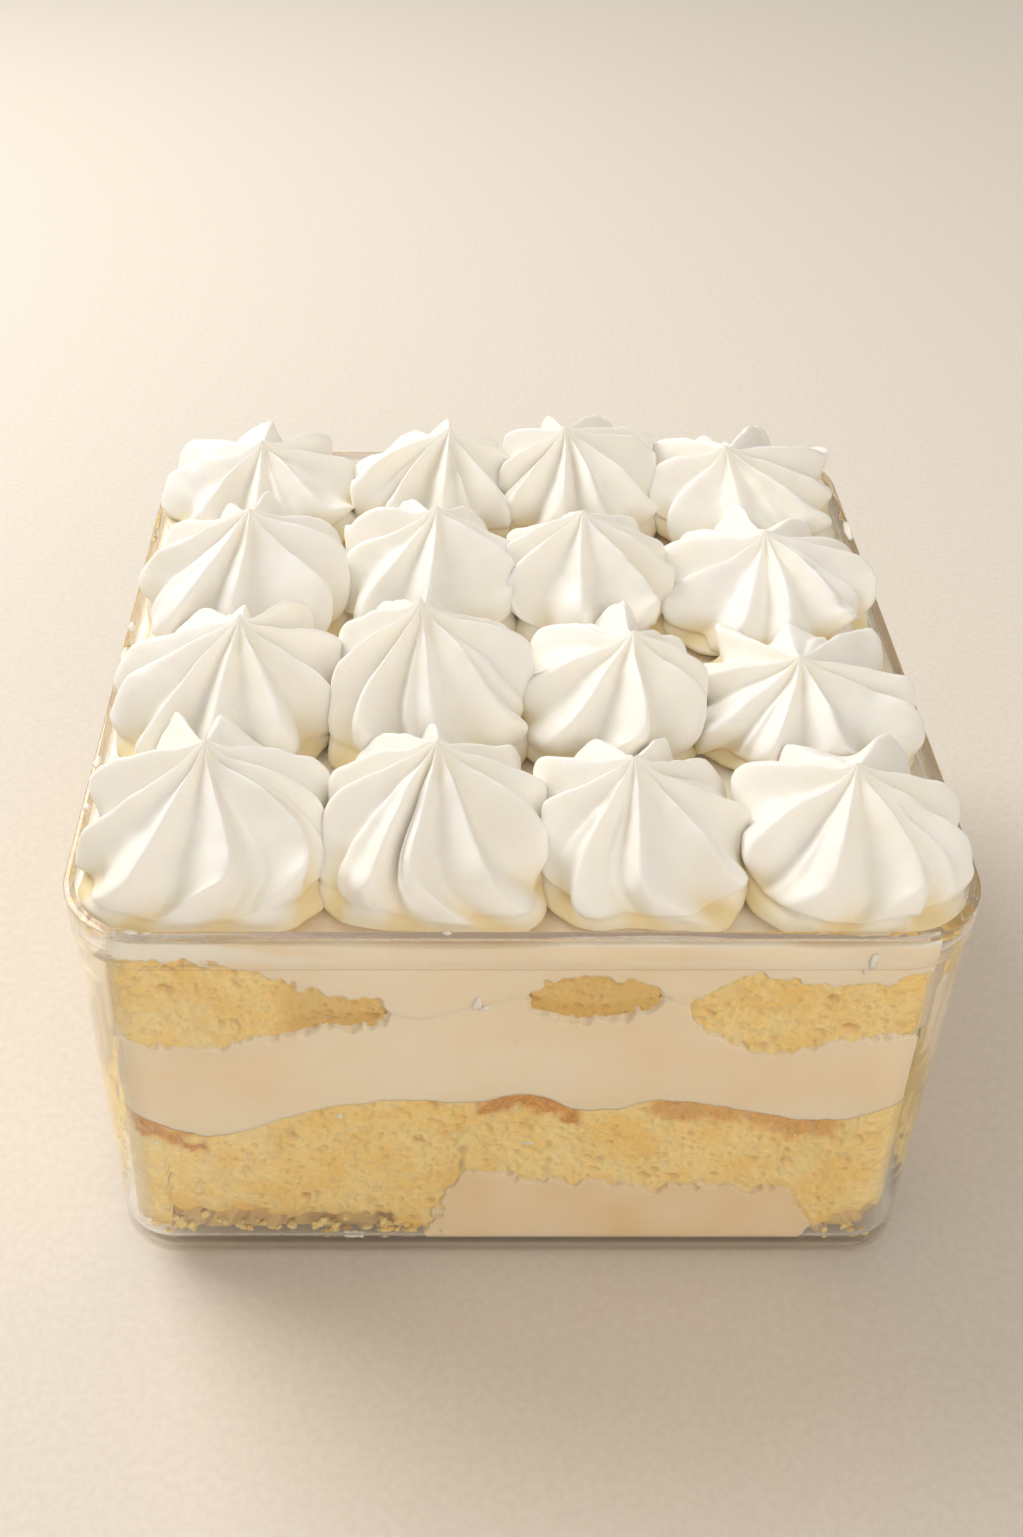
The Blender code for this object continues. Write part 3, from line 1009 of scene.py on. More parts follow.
    def crumb(self, points: np.ndarray, seed: int) -> tuple[np.ndarray, np.ndarray]:
        """Relief of the cut crumb against the wall.

        Args:
            points: Places on the wall.
            seed: Picks another crumb.

        Returns:
            How far each place is set back in millimetres, and how deep in a pore it is from 0 to 1, which the
            material paints as shade.
        """
        flattened = points * np.array((1.0, 1.0, 1.45))
        bent = [soft_noise(points, 1.1, seed + 40 + axis) for axis in range(3)]
        flattened = flattened + 0.2 * np.stack(bent, -1)
        large = holes(flattened, 3.4, seed, 0.34, 0.42)
        medium = holes(flattened, 1.8, seed + 10, 0.55, 0.5)
        small = holes(flattened, 1.0, seed + 20, 0.7, 0.55)
        swell = soft_noise(points, 6.5, seed + 30)
        lump = soft_noise(points, 1.4, seed + 31)
        depth = 1.2 * large + 0.85 * medium + 0.4 * small
        depth = np.maximum(depth + 0.22 * lump + 0.18 * swell, 0.0)
        pore_shade = np.clip(0.9 * large**2 + 0.6 * medium**2 + 0.25 * small, 0, 1)
        return np.minimum(depth, self.deepest_pore), pore_shade

    def lower_sponge(self) -> bpy.types.Object:
        """The thick sponge, with its crisp upper line, browned places and ragged foot.

        Returns:
            The layer.
        """
        wall = self.wall
        rows = 66
        under, top = self.lower_bottom - 0.2, self.lower_top + 0.55
        points = self.side_points(under, top, rows)
        heights = points[..., 2]
        depth, pore_shade = self.crumb(points, 100)
        inset = self.sponge_contact + depth + self.tucked(heights, under, top)
        inset = inset + self.sponge_corner * wall.corner_share
        near_top = smooth_step(4.2, 2.2, top - 0.55 - heights + 1.3 * soft_noise(points, 2.2, 141))
        behind = wall.side != Side.FRONT.value
        spots = 0.5 * smooth_step(0.25, 0.6, soft_noise(wall.middle, 9.0, 142)) * behind
        for low, high, strength in self.browned:
            spots = spots + strength * wall.on_front(low, high, 2)
        from_corner = np.linalg.norm(wall.middle[:, :2] - np.array(self.browned_corner), axis=1)
        spots = np.maximum(spots, 1.3 * smooth_step(8.5, 5.5, from_corner))
        crust = np.clip(near_top * spots * smooth_step(-0.9, -0.2, soft_noise(points, 2.6, 143)), 0, 1)
        # darker towards the floor and along the ragged foot where the sponge reaches it
        soak_and_shade = 0.35 * smooth_step(14.0, 4.0, heights) * smooth_step(-0.2, 0.7, soft_noise(points, 7.0, 144))
        soak_and_shade = soak_and_shade + 0.35 * smooth_step(3.5, 0.0, heights - under) * self.bare
        inset = inset + 0.3 * smooth_step(0.3, 1.2, self.bottom_cream_top - heights) * (1 - self.bare)
        return self.layer(
            "lower_sponge",
            under,
            top,
            (17.5, 32.8),
            rows,
            inset,
            {"pore_shade": pore_shade, "crust": crust, "soak_and_shade": np.clip(soak_and_shade, 0, 1)},
        )

    def upper_sponge(self) -> bpy.types.Object:
        """The thin sponge, which shows in patches, with hollows where it draws back from the wall.

        Returns:
            The layer.
        """
        wall = self.wall
        rows = 40
        behind_cream = 0.5 + 1.1 * (1 - self.closing)
        under, top = self.upper_bottom - behind_cream, self.upper_top + behind_cream
        points = self.side_points(under, top, rows)
        heights = points[..., 2]
        depth, pore_shade = self.crumb(points, 200)
        behind = wall.side != Side.FRONT.value
        pockets = 0.8 * smooth_step(0.35, 0.6, soft_noise(wall.middle, 14.0, 241)) * behind
        for low, high, soft in self.hollows:
            pockets = pockets + wall.on_front(low, high, soft)
        inset = self.sponge_contact + depth + self.tucked(heights, under, top)
        inset = inset + self.sponge_corner * wall.corner_share
        inset = inset + 0.45 * pockets + 0.8 * self.closing
        low_edge = smooth_step(2.2, 0.6, heights - self.upper_bottom)
        # painted shade: the hollows, most of all at their lower edge, take the darker wet colour
        soak_and_shade = 0.05 + 0.42 * np.clip(pockets, 0, 1) + 0.3 * pockets * low_edge
        return self.layer(
            "upper_sponge",
            under,
            top,
            (48.5, 55.0),
            rows,
            inset,
            {"pore_shade": pore_shade, "crust": np.zeros_like(heights), "soak_and_shade": np.clip(soak_and_shade, 0, 1)},
        )

    def smooth_contact(self, points: np.ndarray, seed: int) -> np.ndarray:
        """Cream against the wall: it wets it nearly all over, apart from a few small bubbles of air."""
        bubbles = holes(points, 7.0, seed, 0.35, 0.09)
        return self.contact + 0.5 * bubbles + self.cream_corner * self.wall.corner_share

    def cream(
        self,
        name: str,
        under: np.ndarray,
        top: np.ndarray,
        levels: tuple[float, float],
        rows: int,
        seed: int,
    ) -> bpy.types.Object:
        """One cream, pressed flat against the wall.

        Args:
            name: Name of the piece.
            under: Height of its lower edge at the wall for each column.
            top: Height of its upper edge at the wall for each column.
            levels: Height of its lower and upper surface in the middle of the cake.
            rows: Rows of points on the wall's side.
            seed: Picks other bubbles and tears.

        Returns:
            The layer.
        """
        points = self.side_points(under, top, rows)
        inset = self.smooth_contact(points, seed)
        heights = points[..., 2]
        from_edge = heights - under if name == "top_cream" else top - heights
        torn = self.frayed(points, from_edge / self.fray_edge, seed + 10)
        inset = inset + self.tear_depth * (1 - self.closing) * torn
        inset = inset + 0.16 * self.closing * smooth_step(2 * self.lap, 0.0, from_edge)
        warm_tone_and_shade = 0.4 + 0.12 * soft_noise(points * np.array((0.35, 0.35, 1.0)), 6.0, 321)
        streaks = soft_noise(points * np.array((0.16, 0.16, 1.0)), 2.2, 322)
        pressed = smooth_step(-0.3, 0.1, streaks) * smooth_step(59.0, 61.2, heights)
        warm_tone_and_shade = warm_tone_and_shade * (1 - 0.9 * pressed)
        return self.layer(name, under, top, levels, rows, inset, {"warm_tone_and_shade": np.clip(warm_tone_and_shade, 0, 1)})

    def bottom_cream(self) -> bpy.types.Object:
        """The cream on the tub's floor, drawn back from the wall where the sponge reaches the floor.

        Returns:
            The layer.
        """
        rows = 54
        under = np.full(self.wall.count, self.sizes.floor_top + 0.02)
        top = np.maximum(self.bottom_cream_top + 0.2, under + 0.3)
        points = self.side_points(under, top, rows)
        from_top = (top - points[..., 2]) / self.fray_down
        from_end = (self.to_bare + 0.6) / (self.fray_across - 1.0)
        share = np.minimum(from_top, from_end)
        inset = self.smooth_contact(points, 300) + 1.4 * self.frayed(points, share, 310)
        inset = inset + 3.0 * smooth_step(5.6, 4.2, top)
        # painted shade: where the film is thin at the sponge's foot it is painted fully warm, an amber shade
        # for the gap under the sponge
        warm_tone_and_shade = 0.6 + 0.2 * soft_noise(points, 5.0, 301) + 0.5 * smooth_step(5.6, 4.2, top)
        return self.layer(
            "bottom_cream", under, top, (3.12, 17.0), rows, inset, {"warm_tone_and_shade": np.clip(warm_tone_and_shade, 0, 1)}
        )

    def build(self) -> dict[str, bpy.types.Object]:
        """Makes all layers.

        Returns:
            Each layer's CAD node name and its piece.
        """
        return {
            "cream_bottom": self.bottom_cream(),
            "sponge_lower": self.lower_sponge(),
            "cream_middle": self.cream(
                "middle_cream", self.lower_top, self.middle_cream_top, (33.2, 48.2), 56, 320
            ),
            "sponge_upper": self.upper_sponge(),
            "cream_top": self.cream(
                "top_cream", self.top_cream_bottom, self.top_cream_top, (55.3, 63.0), 30, 340
            ),
        }

    def dress(self, pieces: dict[str, bpy.types.Object]) -> None:
        """Gives each layer its cream or sponge.

        Args:
            pieces: Each layer's CAD node name and its piece.
        """
        # the warm colour is the filling's own warmer tone, and painted amber shade on the bottom cream's thin
        # edge
        filling = Cream("ivory_cream_filling", "#FFF9EE", "#FDF3E2", "#EBC78B").material()
        sponge = Sponge().material()
        for node, item in pieces.items():
            if node.startswith("cream"):
                declare(item, filling, Slot.FILLING, node)
            else:
                declare(item, sponge, Slot.SPONGE, node)


@dataclass(frozen=True)
class RosettePlan:
    """Sizes shared by all rosettes, in millimetres, and the lines of a crest and of a groove.

    Each line runs from the peak to the foot, as shares of the rosette's radius and height.
    """

    row_seams: tuple[float, ...] = (-53.2, -26.4, 0.0, 26.4, 53.2)
    column_seams: tuple[tuple[float, ...], ...] = (
        (-53.2, -23.4, 2.6, 27.0, 53.2),
        (-53.2, -23.8, 1.6, 24.6, 53.2),
        (-53.2, -23.9, 0.4, 23.0, 53.2),
        (-53.2, -23.3, 0.5, 24.2, 53.2),
    )
    ridges: tuple[int, ...] = (9, 10, 9, 8)
    foot: float = 64.0
    spread: float = 1.2
    twist: float = 14.0
    unevenness: float = 0.07
    sway: float = 11.0
    crest_lift: float = 1.4
    hem_lift: float = 1.3
    lean_power: float = 1.5
    overlap: float = 0.9
    rim_room: float = 0.8
    sunk_rings: tuple[tuple[float, float], ...] = ((0.93, 63.4), (0.84, 62.7), (0.5, 62.5))
    sunk_tip: float = 62.5
    rim_passed: tuple[float, float] = (65.2, 66.4)  # over the rim a rosette may lean out a little
    corner_half: float = 53.35
    corner_radius: float = 9.2
    firmness: float = 1.1  # how firmly a rosette presses against its neighbours
    fold_width: float = 0.075
    crease: tuple[float, float, float] = (0.885, 0.022, 0.1)  # place, width and depth of the hem's line
    steps_a_ridge: int = 24
    levels: int = 76
    crest: tuple[tuple[float, float], ...] = (
        (0.0, 1.0), (0.06, 0.945), (0.19, 0.862), (0.53, 0.73), (0.80, 0.59), (0.95, 0.43), (1.0, 0.27),
        (0.965, 0.13), (0.985, 0.0),
    )
    groove: tuple[tuple[float, float], ...] = (
        (0.0, 1.0), (0.045, 0.92), (0.12, 0.81), (0.34, 0.62), (0.53, 0.465), (0.70, 0.32), (0.78, 0.19),
        (0.86, 0.10), (0.97, 0.0),
    )


def curve_through(points: tuple[tuple[float, float], ...], places: np.ndarray) -> np.ndarray:
    """A smooth curve through points.

    Args:
        points: The points, in order.
        places: Where to read the curve, from 0 at the first point to 1 at the last.

    Returns:
        One pair of numbers for each place.
    """
    known = np.array(points)
    known = np.concatenate([2 * known[:1] - known[1:2], known, 2 * known[-1:] - known[-2:-1]])
    spans = len(points) - 1
    along = np.clip(places, 0.0, 1.0) * spans
    first = np.minimum(along.astype(int), spans - 1)
    near = (along - first)[:, None]
    a, b, c, d = (known[first + step] for step in range(4))
    bend = (2 * a - 5 * b + 4 * c - d) * near**2 + (3 * b - a - 3 * c + d) * near**3
    return 0.5 * (2 * b + (c - a) * near + bend)


@dataclass
class Rosette:
    """One piped rosette of whipped cream: crisp crests with broad grooves, gathered in a small peak."""

    row: int
    column: int
    plan: RosettePlan = field(default_factory=RosettePlan)

    def __post_init__(self) -> None:
        """Repeats the CAD model's draws, so that crests and grooves lie where the solid has them."""
        plan = self.plan
        draw = random.Random(SEED * 100 + self.row * 10 + self.column)
        self.count = plan.ridges[(self.row + self.column) % len(plan.ridges)]
        self.phase = draw.uniform(0, 360 / self.count)
        self.twist = draw.choice((-1, 1)) * draw.uniform(0.5, 1.0) * plan.twist
        uneven = plan.unevenness
        self.crests = np.array([1 + draw.uniform(-uneven, uneven) for _ in range(self.count)])
        self.sway = np.array([draw.uniform(-1, 1) for _ in range(self.count)])
        self.lifts = np.array([draw.uniform(-1, 1) for _ in range(self.count)])
        self.folds = np.array([draw.uniform(0.15, 0.42) * (draw.random() < 0.5) for _ in range(self.count)])
        self.fold_places = np.array([draw.uniform(0.36, 0.64) for _ in range(self.count)])
        self.skew = draw.choice((-1, 1)) * draw.uniform(0.25, 0.5)
        self.hem = draw.uniform(0.2, 1.0)
        left, right = plan.column_seams[self.row][self.column : self.column + 2]
        front, back = plan.row_seams[self.row : self.row + 2]
        self.cell = (left, right, front, back)
        self.middle = np.array(((left + right) / 2, (front + back) / 2))
        self.radius = 0.25 * (right - left + back - front) * plan.spread
        self.peak = self.find_peak()

    @property
    def node(self) -> str:
        """Name of the CAD node."""
        return f"rosette_{self.row + 1}_{self.column + 1}"

    def find_peak(self) -> np.ndarray:
        """The highest point of the CAD node, in millimetres.

        Returns:
            Its three coordinates.
        """
        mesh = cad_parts[self.node].data
        places = np.empty(len(mesh.vertices) * 3, np.float32)
        mesh.vertices.foreach_get("co", places)
        places = places.reshape(-1, 3)
        return places[places[:, 2].argmax()] / MM

    def ring_places(self) -> np.ndarray:
        """Where the rings lie along the crest line, evenly spaced in millimetres.

        Returns:
            One number for each ring, from 0 at the peak to 1 at the foot.
        """
        dense = np.linspace(0, 1, 600)
        line = curve_through(self.plan.crest, dense) * (self.radius, self.peak[2] - self.plan.foot)
        walked = np.concatenate(([0.0], np.cumsum(np.linalg.norm(np.diff(line, axis=0), axis=1))))
        return np.interp(np.linspace(0, walked[-1], self.plan.levels + 1)[1:], walked, dense)

    def off_crest(
        self, near: np.ndarray, ridge: np.ndarray, low_down: np.ndarray, mid: np.ndarray
    ) -> np.ndarray:
        """How far each point is from the crests towards the groove, from 0 to 1.

        Args:
            near: Place between two crests, from 0 to 1.
            ridge: Number of the crest before each point.
            low_down: 1 at the hem, where the crests end in round lobes.
            mid: 1 half-way down, where a second, softer fold may lie in a groove.

        Returns:
            The share, with a crisp turn at the crests higher up.
        """
        skewed = near + self.skew * near * (1 - near)
        crisp = np.sqrt(np.sin(math.pi * skewed) ** 2 + 0.012) - 0.11
        round_lobe = 0.5 - 0.5 * np.cos(2 * math.pi * skewed)
        from_fold = (near - self.fold_places[ridge]) / self.plan.fold_width
        fold = self.folds[ridge] * np.exp(-0.5 * from_fold**2)
        return crisp * (1 - low_down) + round_lobe * low_down - fold * mid

    def rings(self) -> tuple[np.ndarray, dict[str, np.ndarray]]:
        """Places of all points from the peak down, and a mark that paints shade in the grooves and on the
        lower parts.

        Returns:
            The rings in millimetres and the mark for the material.
        """
        plan = self.plan
        places = self.ring_places()
        crest_line = curve_through(plan.crest, places)
        groove_line = curve_through(plan.groove, places)
        down = places[:, None]
        around = np.arange(self.count * plan.steps_a_ridge) / plan.steps_a_ridge
        ridge = np.floor(around).astype(int)
        near = around - ridge
        after = (ridge + 1) % self.count
        blend = near * near * (3 - 2 * near)
        drawn = (self.crests, self.sway, self.lifts)
        longer, swaying, lifted = (values[ridge] * (1 - blend) + values[after] * blend for values in drawn)
        low_down = smooth_step(0.5, 0.78, down)
        mid = smooth_step(0.15, 0.45, down) * smooth_step(0.95, 0.75, down)
        off = self.off_crest(near, ridge, low_down, mid)
        out = crest_line[:, :1] + (groove_line[:, :1] - crest_line[:, :1]) * off
        up = crest_line[:, 1:] + (groove_line[:, 1:] - crest_line[:, 1:]) * off
        out = out * (1 + (longer - 1) * smooth_step(0.1, 0.5, down))
        crease_place, crease_width, crease_depth = plan.crease
        crease = self.hem * np.exp(-0.5 * ((down - crease_place - 0.02 * swaying) / crease_width) ** 2)
        out = out * (1 - crease_depth * crease)
        crease_zone = smooth_step(0.55, 0.72, down) * smooth_step(0.97, 0.86, down)
        heights = plan.foot + (self.peak[2] - plan.foot) * up
        heights = heights + plan.crest_lift * lifted * (1 - off) * (mid + plan.hem_lift * crease_zone)
        turned = (1 - crest_line[:, 1:]) ** 2
        degrees = self.phase + 360 * around / self.count + self.twist * turned
        degrees = degrees + plan.sway * swaying * np.sin(math.pi * 1.25 * (1 - crest_line[:, 1:]))
        angle = np.radians(degrees)
        lean = np.clip(up, 0, 1) ** plan.lean_power
        axis = self.middle + (self.peak[:2] - self.middle) * lean[..., None]
        reach = self.limited(self.radius * out, axis, angle, heights)
        place = np.stack(
            [axis[..., 0] + reach * np.cos(angle), axis[..., 1] + reach * np.sin(angle), heights], axis=-1
        )
        place = self.roughened(place, down)
        # painted shade: warmer, darker cream in the grooves and on the lower parts near the rim
        groove = np.clip(off, 0, 1) * (0.3 + 0.7 * smooth_step(0.5, 0.9, down)) * smooth_step(0.0, 0.2, down)
        warm_tone_and_shade = 0.7 * groove**2 + 0.6 * smooth_step(67.5, 64.2, heights)
        return place, {"warm_tone_and_shade": np.clip(warm_tone_and_shade, 0, 1)}

    def limited(
        self, reach: np.ndarray, axis: np.ndarray, angle: np.ndarray, heights: np.ndarray
    ) -> np.ndarray:
        """Keeps a rosette within its own cell, pressed softly against its neighbours.

        Args:
            reach: How far out each point would be.
            axis: The rosette's middle at each point.
            angle: Direction of each point.
            heights: Height of each point. Above the rim a rosette may lean over it a little.

        Returns:
            How far out each point is.
        """
        left, right, front, back = self.cell
        over_rim = 0.1 + self.plan.rim_room * smooth_step(*self.plan.rim_passed, heights)
        edges = []
        for low, high, place, way in (
            (left, right, axis[..., 0], np.cos(angle)),
            (front, back, axis[..., 1], np.sin(angle)),
        ):
            low_room = self.plan.overlap if low > -50 else over_rim
            high_room = self.plan.overlap if high < 50 else over_rim
            gap = np.where(way > 0, high + high_room - place, place - low + low_room)
            edges.append(gap / np.maximum(np.abs(way), 1e-3))
        limit = np.minimum(*edges)
        firm = self.plan.firmness
        return -np.log(np.exp(-firm * reach) + np.exp(-firm * limit)) / firm

    def roughened(self, place: np.ndarray, down: np.ndarray) -> np.ndarray:
        """Adds the small lumps and pits of whipped cream, and keeps the foot inside the tub's corner.

        Args:
            place: Places of the points in millimetres.
            down: How far down its ring lies, from 0 at the peak to 1 at the foot.

        Returns:
            The new places.
        """
        centre = np.array((self.middle[0], self.middle[1], 66.0))
        way = place - centre
        way = way / np.maximum(np.linalg.norm(way, axis=-1, keepdims=True), 1e-3)
        seed = 400 + 20 * (4 * self.row + self.column)
        bulge = 0.75 * soft_noise(place, 6.0, seed) + 0.26 * soft_noise(place, 2.3, seed + 1)
        bulge = bulge + 0.03 * soft_noise(place, 0.8, seed + 2) - 0.3 * holes(place, 3.6, seed + 3, 0.4, 0.12)
        bulge = bulge * smooth_step(0.0, 0.12, down)
        place = place + way * bulge[..., None]
        plan = self.plan
        limit_half = plan.corner_half + plan.rim_room * smooth_step(*plan.rim_passed, place[..., 2:])
        corner = plan.corner_radius
        over = np.abs(place[..., :2]) - (limit_half - corner)
        outside = np.hypot(over[..., 0], over[..., 1])
        in_corner = (over[..., 0] > 0) & (over[..., 1] > 0) & (outside > corner)
        pull = np.where(in_corner, corner / np.maximum(outside, 1e-6), 1.0)[..., None]
        pulled = np.sign(place[..., :2]) * (over * pull + limit_half - corner)
        flat = np.where(in_corner[..., None], pulled, place[..., :2])
        return np.concatenate([flat, place[..., 2:]], axis=-1)

    def build(self) -> bpy.types.Object:
        """Makes the rosette as a closed shell that stands a little way in the cream under it.

        Returns:
            The rosette.
        """
        rings, marks = self.rings()
        foot = rings[-1].copy()
        middle = np.array((self.middle[0], self.middle[1], 0.0))
        lower = []
        for shrink, height in self.plan.sunk_rings:
            ring = middle + (foot - middle) * shrink
            ring[:, 2] = height
            lower.append(ring)
        rings = np.concatenate([rings, np.array(lower)])
        marks = {
            key: np.concatenate([mark, np.repeat(mark[-1:], len(lower), 0)]) for key, mark in marks.items()
        }
        tip = self.peak + np.array((0.0, 0.0, 0.05))
        bottom = np.array((self.middle[0], self.middle[1], self.plan.sunk_tip))
        return wrapped_shell(f"piped_{self.node}", rings, tip, bottom, marks)


@dataclass
class PipedTop:
    """Sixteen rosettes in four rows."""

    rows: int = 4
    columns: int = 4

    def build(self) -> dict[str, bpy.types.Object]:
        """Makes all rosettes.

        Returns:
            Each rosette's CAD node name and its piece.
        """
        places = itertools.product(range(self.rows), range(self.columns))
        rosettes = [Rosette(row, column) for row, column in places]
        return {rosette.node: rosette.build() for rosette in rosettes}

    def dress(self, pieces: dict[str, bpy.types.Object]) -> None:
        """Gives the rosettes their whipped cream.

        Args:
            pieces: Each rosette's CAD node name and its piece.
        """
        # the warm colour of the whipped cream paints shade in the grooves and on the lower parts
        whipped = Cream(
            "whipped_cream", "#FDFAF4", "#FBF7EE", "#F5E2B6", roughness=0.38, depth=2.0, scatter=0.4
        ).material()
        for node, item in pieces.items():
            declare(item, whipped, Slot.WHIPPED, node)


@dataclass(frozen=True)
class Scrap:
    """A crumb of sponge or a fleck of cream: where it lies and how large it is, in millimetres."""

    place: tuple[float, float, float]
    size: tuple[float, float, float]


@dataclass
class Scraps:
    """Small scraps of one food, each a lump of its own, joined to one piece."""

    name: str
    seed: int
    scraps: list[Scrap]
    roughness: float = 0.42

    def build(self) -> bpy.types.Object:
        """Makes each scrap from an icosphere and joins them.

        Returns:
            All scraps as one object.
        """
        lumps = []
        for number, scrap in enumerate(self.scraps):
            deselect_all()
            bpy.ops.mesh.primitive_ico_sphere_add(subdivisions=3, radius=1.0)
            lump = bpy.context.object
            places = np.empty(len(lump.data.vertices) * 3, np.float32)
            lump.data.vertices.foreach_get("co", places)
            ball = places.reshape(-1, 3).astype(float)
            uneven = 1 + self.roughness * soft_noise(ball + 7.0 * number, 0.75, self.seed)
            uneven = uneven + 0.5 * self.roughness * soft_noise(ball + 7.0 * number, 0.35, self.seed + 1)
            shaped = ball * uneven[:, None] * np.array(scrap.size) / 2 + np.array(scrap.place)
            lump.data.vertices.foreach_set("co", (shaped * MM).astype(np.float32).ravel())
            bpy.ops.object.shade_smooth()
            lumps.append(lump)
        deselect_all()
        for lump in lumps:
            lump.select_set(True)
        bpy.context.view_layer.objects.active = lumps[0]
        bpy.ops.object.join()
        item = bpy.context.object
        item.name = self.name
        return item


def cream_flecks() -> list[Scrap]:
    """Flecks of cream on the rim, the wall and the sponge, where the spatula and the nozzle left them.

    Returns:
        The flecks, the large ones given one by one and the small ones strewn.
    """
    flecks = [
        Scrap((-45.5, -54.0, 65.15), (1.9, 0.5, 0.35)),
        Scrap((-43.6, -54.1, 65.1), (0.9, 0.4, 0.3)),
        Scrap((-54.3, -2.0, 65.3), (0.9, 3.6, 0.8)),
        Scrap((-54.2, 4.5, 65.35), (0.8, 1.8, 0.9)),
        Scrap((-54.3, -24.5, 65.2), (0.8, 2.4, 0.6)),
        Scrap((-54.2, -33.0, 65.2), (0.8, 1.5, 0.5)),
        Scrap((54.1, 30.0, 65.4), (0.9, 5.0, 1.2)),
        Scrap((54.2, 22.0, 65.2), (0.8, 2.2, 0.6)),
        Scrap((-9.0, -54.0, 65.1), (1.0, 0.5, 0.3)),
        Scrap((41.0, -53.75, 60.3), (0.9, 0.5, 2.4)),
        Scrap((40.3, -53.7, 58.6), (0.6, 0.5, 1.1)),
        Scrap((-5.4, -53.6, 52.8), (1.1, 0.5, 2.2)),
        Scrap((-4.4, -53.6, 52.0), (1.2, 0.5, 0.8)),
        Scrap((-22.6, -53.25, 31.0), (0.7, 0.4, 1.3)),
        Scrap((1.6, -53.15, 25.3), (1.4, 0.4, 0.7)),
        Scrap((-22.0, -52.3, 4.2), (2.2, 0.7, 1.0)),
        Scrap((-20.7, -52.2, 3.9), (1.2, 0.6, 0.7)),
    ]
    draw = random.Random(SEED + 60)
    for _ in range(26):
        flecks.append(
            Scrap(
                (draw.uniform(-47, 47), -52.95 - draw.uniform(0.0, 0.06), draw.uniform(12, 31)),
                (draw.uniform(0.25, 0.6), 0.35, draw.uniform(0.2, 0.5)),
            )
        )
    return flecks


@dataclass(frozen=True)
class CrumbPatch:
    """Crumbs strewn over a patch: ranges of their size, place and stretch, with sizes in millimetres."""

    count: int
    sizes: tuple[float, float]
    across: tuple[float, float]
    deep: tuple[float, float]
    longer: tuple[float, float]
    thick: tuple[float, float]

    def strewn(
        self, draw: random.Random, rest: Callable[[float, float], float], flat: float = 1.0
    ) -> list[Scrap]:
        """Draws the patch's crumbs.

        Args:
            draw: Source of the random draws.
            rest: Height of a crumb's middle from its size and its place across.
            flat: Size from front to back as a share of a crumb's size.

        Returns:
            The crumbs.
        """
        crumbs = []
        for _ in range(self.count):
            size = draw.uniform(*self.sizes)
            x = draw.uniform(*self.across)
            place = (x, draw.uniform(*self.deep), rest(size, x))
            length = size * draw.uniform(*self.longer)
            crumbs.append(Scrap(place, (length, flat * size, size * draw.uniform(*self.thick))))
        return crumbs


def sponge_crumbs() -> list[Scrap]:
    """Crumbs along the sponge's ragged foot: on the floor, against the wall and at the cream's end.

    Returns:
        All loose crumbs.
    """
    draw = random.Random(SEED + 61)
    cream_end = -17.5
    left_floor = CrumbPatch(60, (0.5, 1.7), (-49, -12), (-51.6, -47.5), (0.9, 1.5), (0.6, 0.9))
    right_floor = CrumbPatch(16, (0.5, 1.5), (39, 49), (-51.4, -47.5), (0.9, 1.4), (0.6, 0.9))
    at_wall = CrumbPatch(26, (0.6, 1.3), (-49, -16), (-52.6, -51.6), (0.9, 1.3), (0.7, 1.1))
    by_cream = CrumbPatch(16, (0.6, 1.5), (cream_end, -13.5), (-52.9, -52.5), (0.9, 1.4), (0.6, 0.9))

    def on_floor(size: float, _: float) -> float:
        """Height of a crumb that lies on the floor."""
        return 3.2 + size * 0.35

    def along_slope(_: float, x: float) -> float:
        """Height of a crumb beside the cream's sloping end."""
        return 5.0 + 9.0 * draw.random() * (x - cream_end) / 4 + draw.uniform(0, 2)

    crumbs = left_floor.strewn(draw, on_floor) + right_floor.strewn(draw, on_floor)
    crumbs += at_wall.strewn(draw, lambda _, __: draw.uniform(5.2, 8.6))
    return crumbs + by_cream.strewn(draw, along_slope, 0.6)


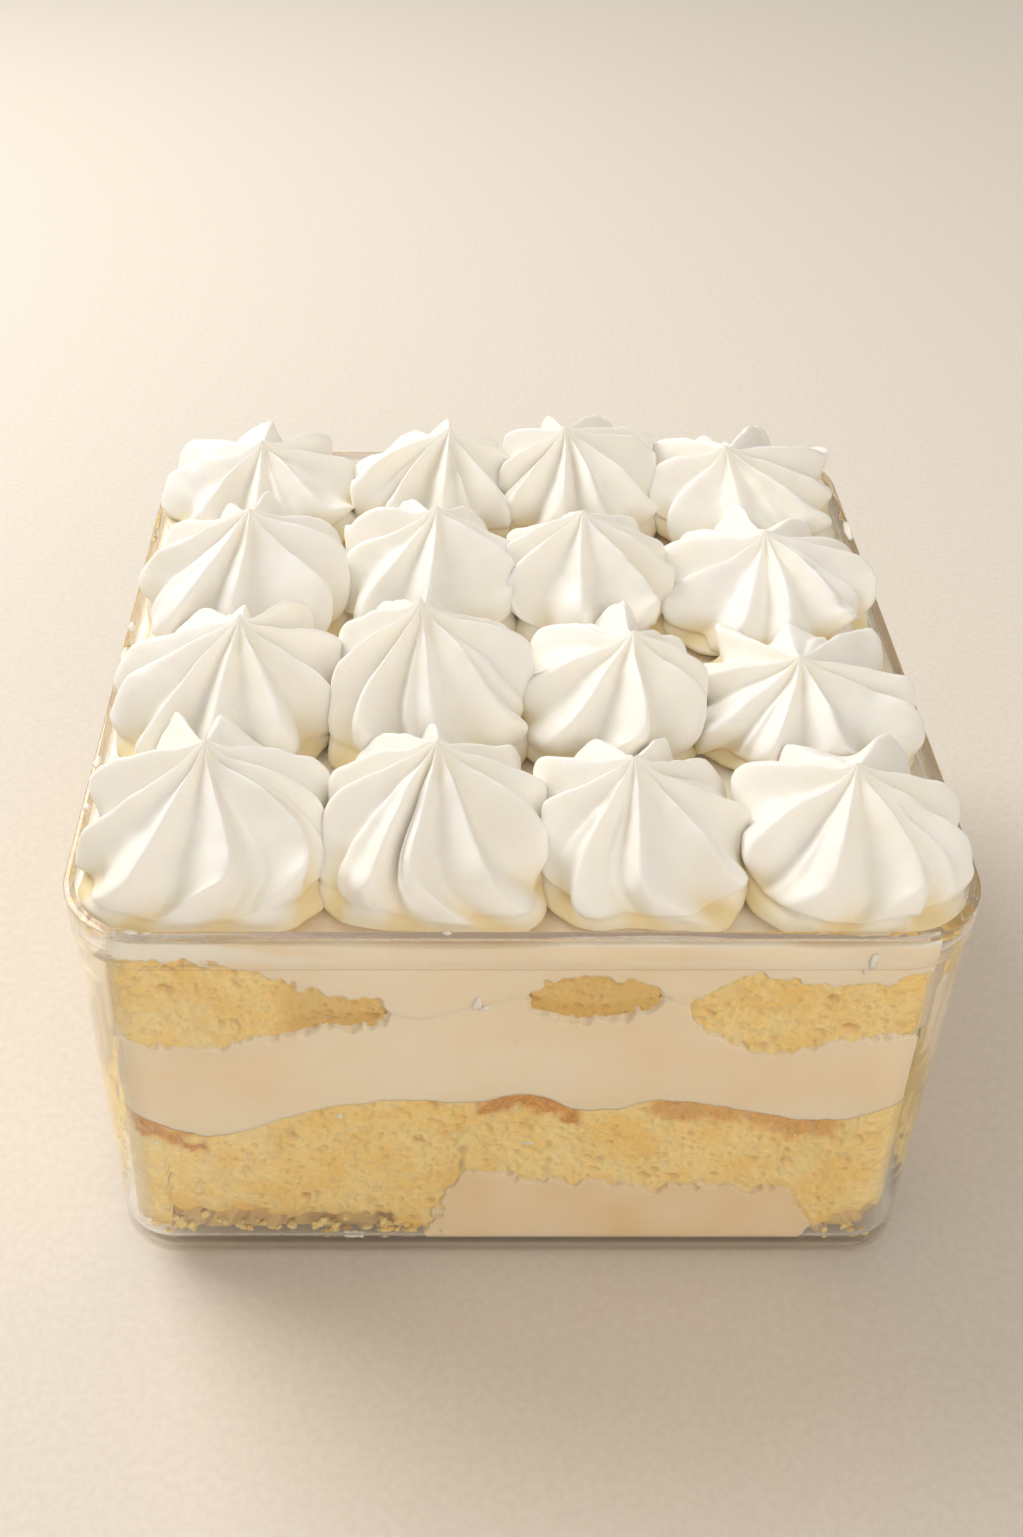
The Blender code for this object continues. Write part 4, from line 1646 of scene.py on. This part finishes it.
@dataclass
class Studio:
    """Pale floor, soft light from behind on the left, and the photograph's camera."""

    floor_half: float = 3000.0
    floor_gap: float = 0.03  # keeps the table's face apart from the underside of the foot
    eye: tuple[float, float, float] = (-9.764, -184.356, 206.177)
    tilt: float = 35.742
    lens: float = 38.24
    sensor: float = 36.0
    shift: tuple[float, float] = (0.0465, -0.1096)
    bounces: int = 24

    def lay_floor(self) -> None:
        """Adds the tabletop under the tub."""
        deselect_all()
        bpy.ops.mesh.primitive_plane_add(size=2 * self.floor_half * MM, location=(0, 0, -self.floor_gap * MM))
        floor = bpy.context.object
        floor.name = "tabletop"
        bpy.ops.object.transform_apply(location=True)
        bpy.ops.object.mode_set(mode="EDIT")
        bpy.ops.mesh.subdivide(number_cuts=3)
        bpy.ops.object.mode_set(mode="OBJECT")
        floor.data.materials.append(Tabletop().material())

    def set_lights(self) -> None:
        """Adds a soft window from behind on the left, a weak fill in front and an even sky."""
        target = Vector((0, 0, 40)) * MM
        lamps = (
            ("window", (-420, 330, 560), 520, 4.1, "#FFFDFA"),
            ("front_fill", (260, -620, 330), 700, 1.6, "#FFF5E8"),
        )
        for name, place, size, power, colour in lamps:
            light = bpy.data.lights.new(name, "AREA")
            light.shape = "DISK"
            light.size = size * MM
            light.energy = power
            light.color = linear(colour)[:3]
            lamp = bpy.data.objects.new(name, light)
            lamp.location = Vector(place) * MM
            lamp.rotation_euler = (target - lamp.location).to_track_quat("-Z", "Y").to_euler()
            bpy.context.scene.collection.objects.link(lamp)
        world = bpy.data.worlds.new("soft_room")
        world.use_nodes = True
        tree = world.node_tree
        tree.nodes.clear()
        sky = add_node(tree, "Background", {"Color": linear("#FFF9F0"), "Strength": 0.5}).outputs[0]
        add_node(tree, "OutputWorld", {"Surface": sky})
        bpy.context.scene.world = world
        bpy.context.scene.view_settings.view_transform = "Standard"
        cycles = bpy.context.scene.cycles
        cycles.max_bounces = self.bounces
        cycles.transmission_bounces = self.bounces
        cycles.glossy_bounces = self.bounces
        cycles.transparent_max_bounces = self.bounces

    def place_camera(self) -> None:
        """Adds the camera where the photograph was taken from."""
        data = bpy.data.cameras.new("photograph")
        data.lens = self.lens
        data.sensor_width = self.sensor
        data.sensor_fit = "AUTO"
        data.shift_x, data.shift_y = self.shift
        data.clip_start = 0.01
        data.clip_end = 20.0
        camera = bpy.data.objects.new("photograph", data)
        camera.location = Vector(self.eye) * MM
        camera.rotation_euler = (math.radians(90 - self.tilt), 0.0, 0.0)
        bpy.context.scene.collection.objects.link(camera)
        bpy.context.scene.camera = camera


def main() -> None:
    """Builds and dresses the whole cake, then the studio round it."""
    logging.basicConfig(level=logging.INFO, format="%(name)s %(message)s")
    tub = Tub()
    tub.dress(tub.build())
    layers = CakeLayers()
    layers.dress(layers.build())
    piped = PipedTop()
    piped.dress(piped.build())
    flecks = Scraps("cream_flecks", 700, cream_flecks())
    fleck_cream = Cream("cream_of_the_flecks", "#FCF6EA", "#FAF2E2", "#F3E0B4")
    declare(flecks.build(), fleck_cream.material(), Slot.WHIPPED)
    crumbs = Scraps("loose_crumbs", 720, sponge_crumbs())
    declare(crumbs.build(), Sponge(name="loose_sponge_crumb").material(), Slot.SPONGE)
    studio = Studio()
    studio.lay_floor()
    studio.set_lights()
    studio.place_camera()


if __name__ == "__main__":
    main()
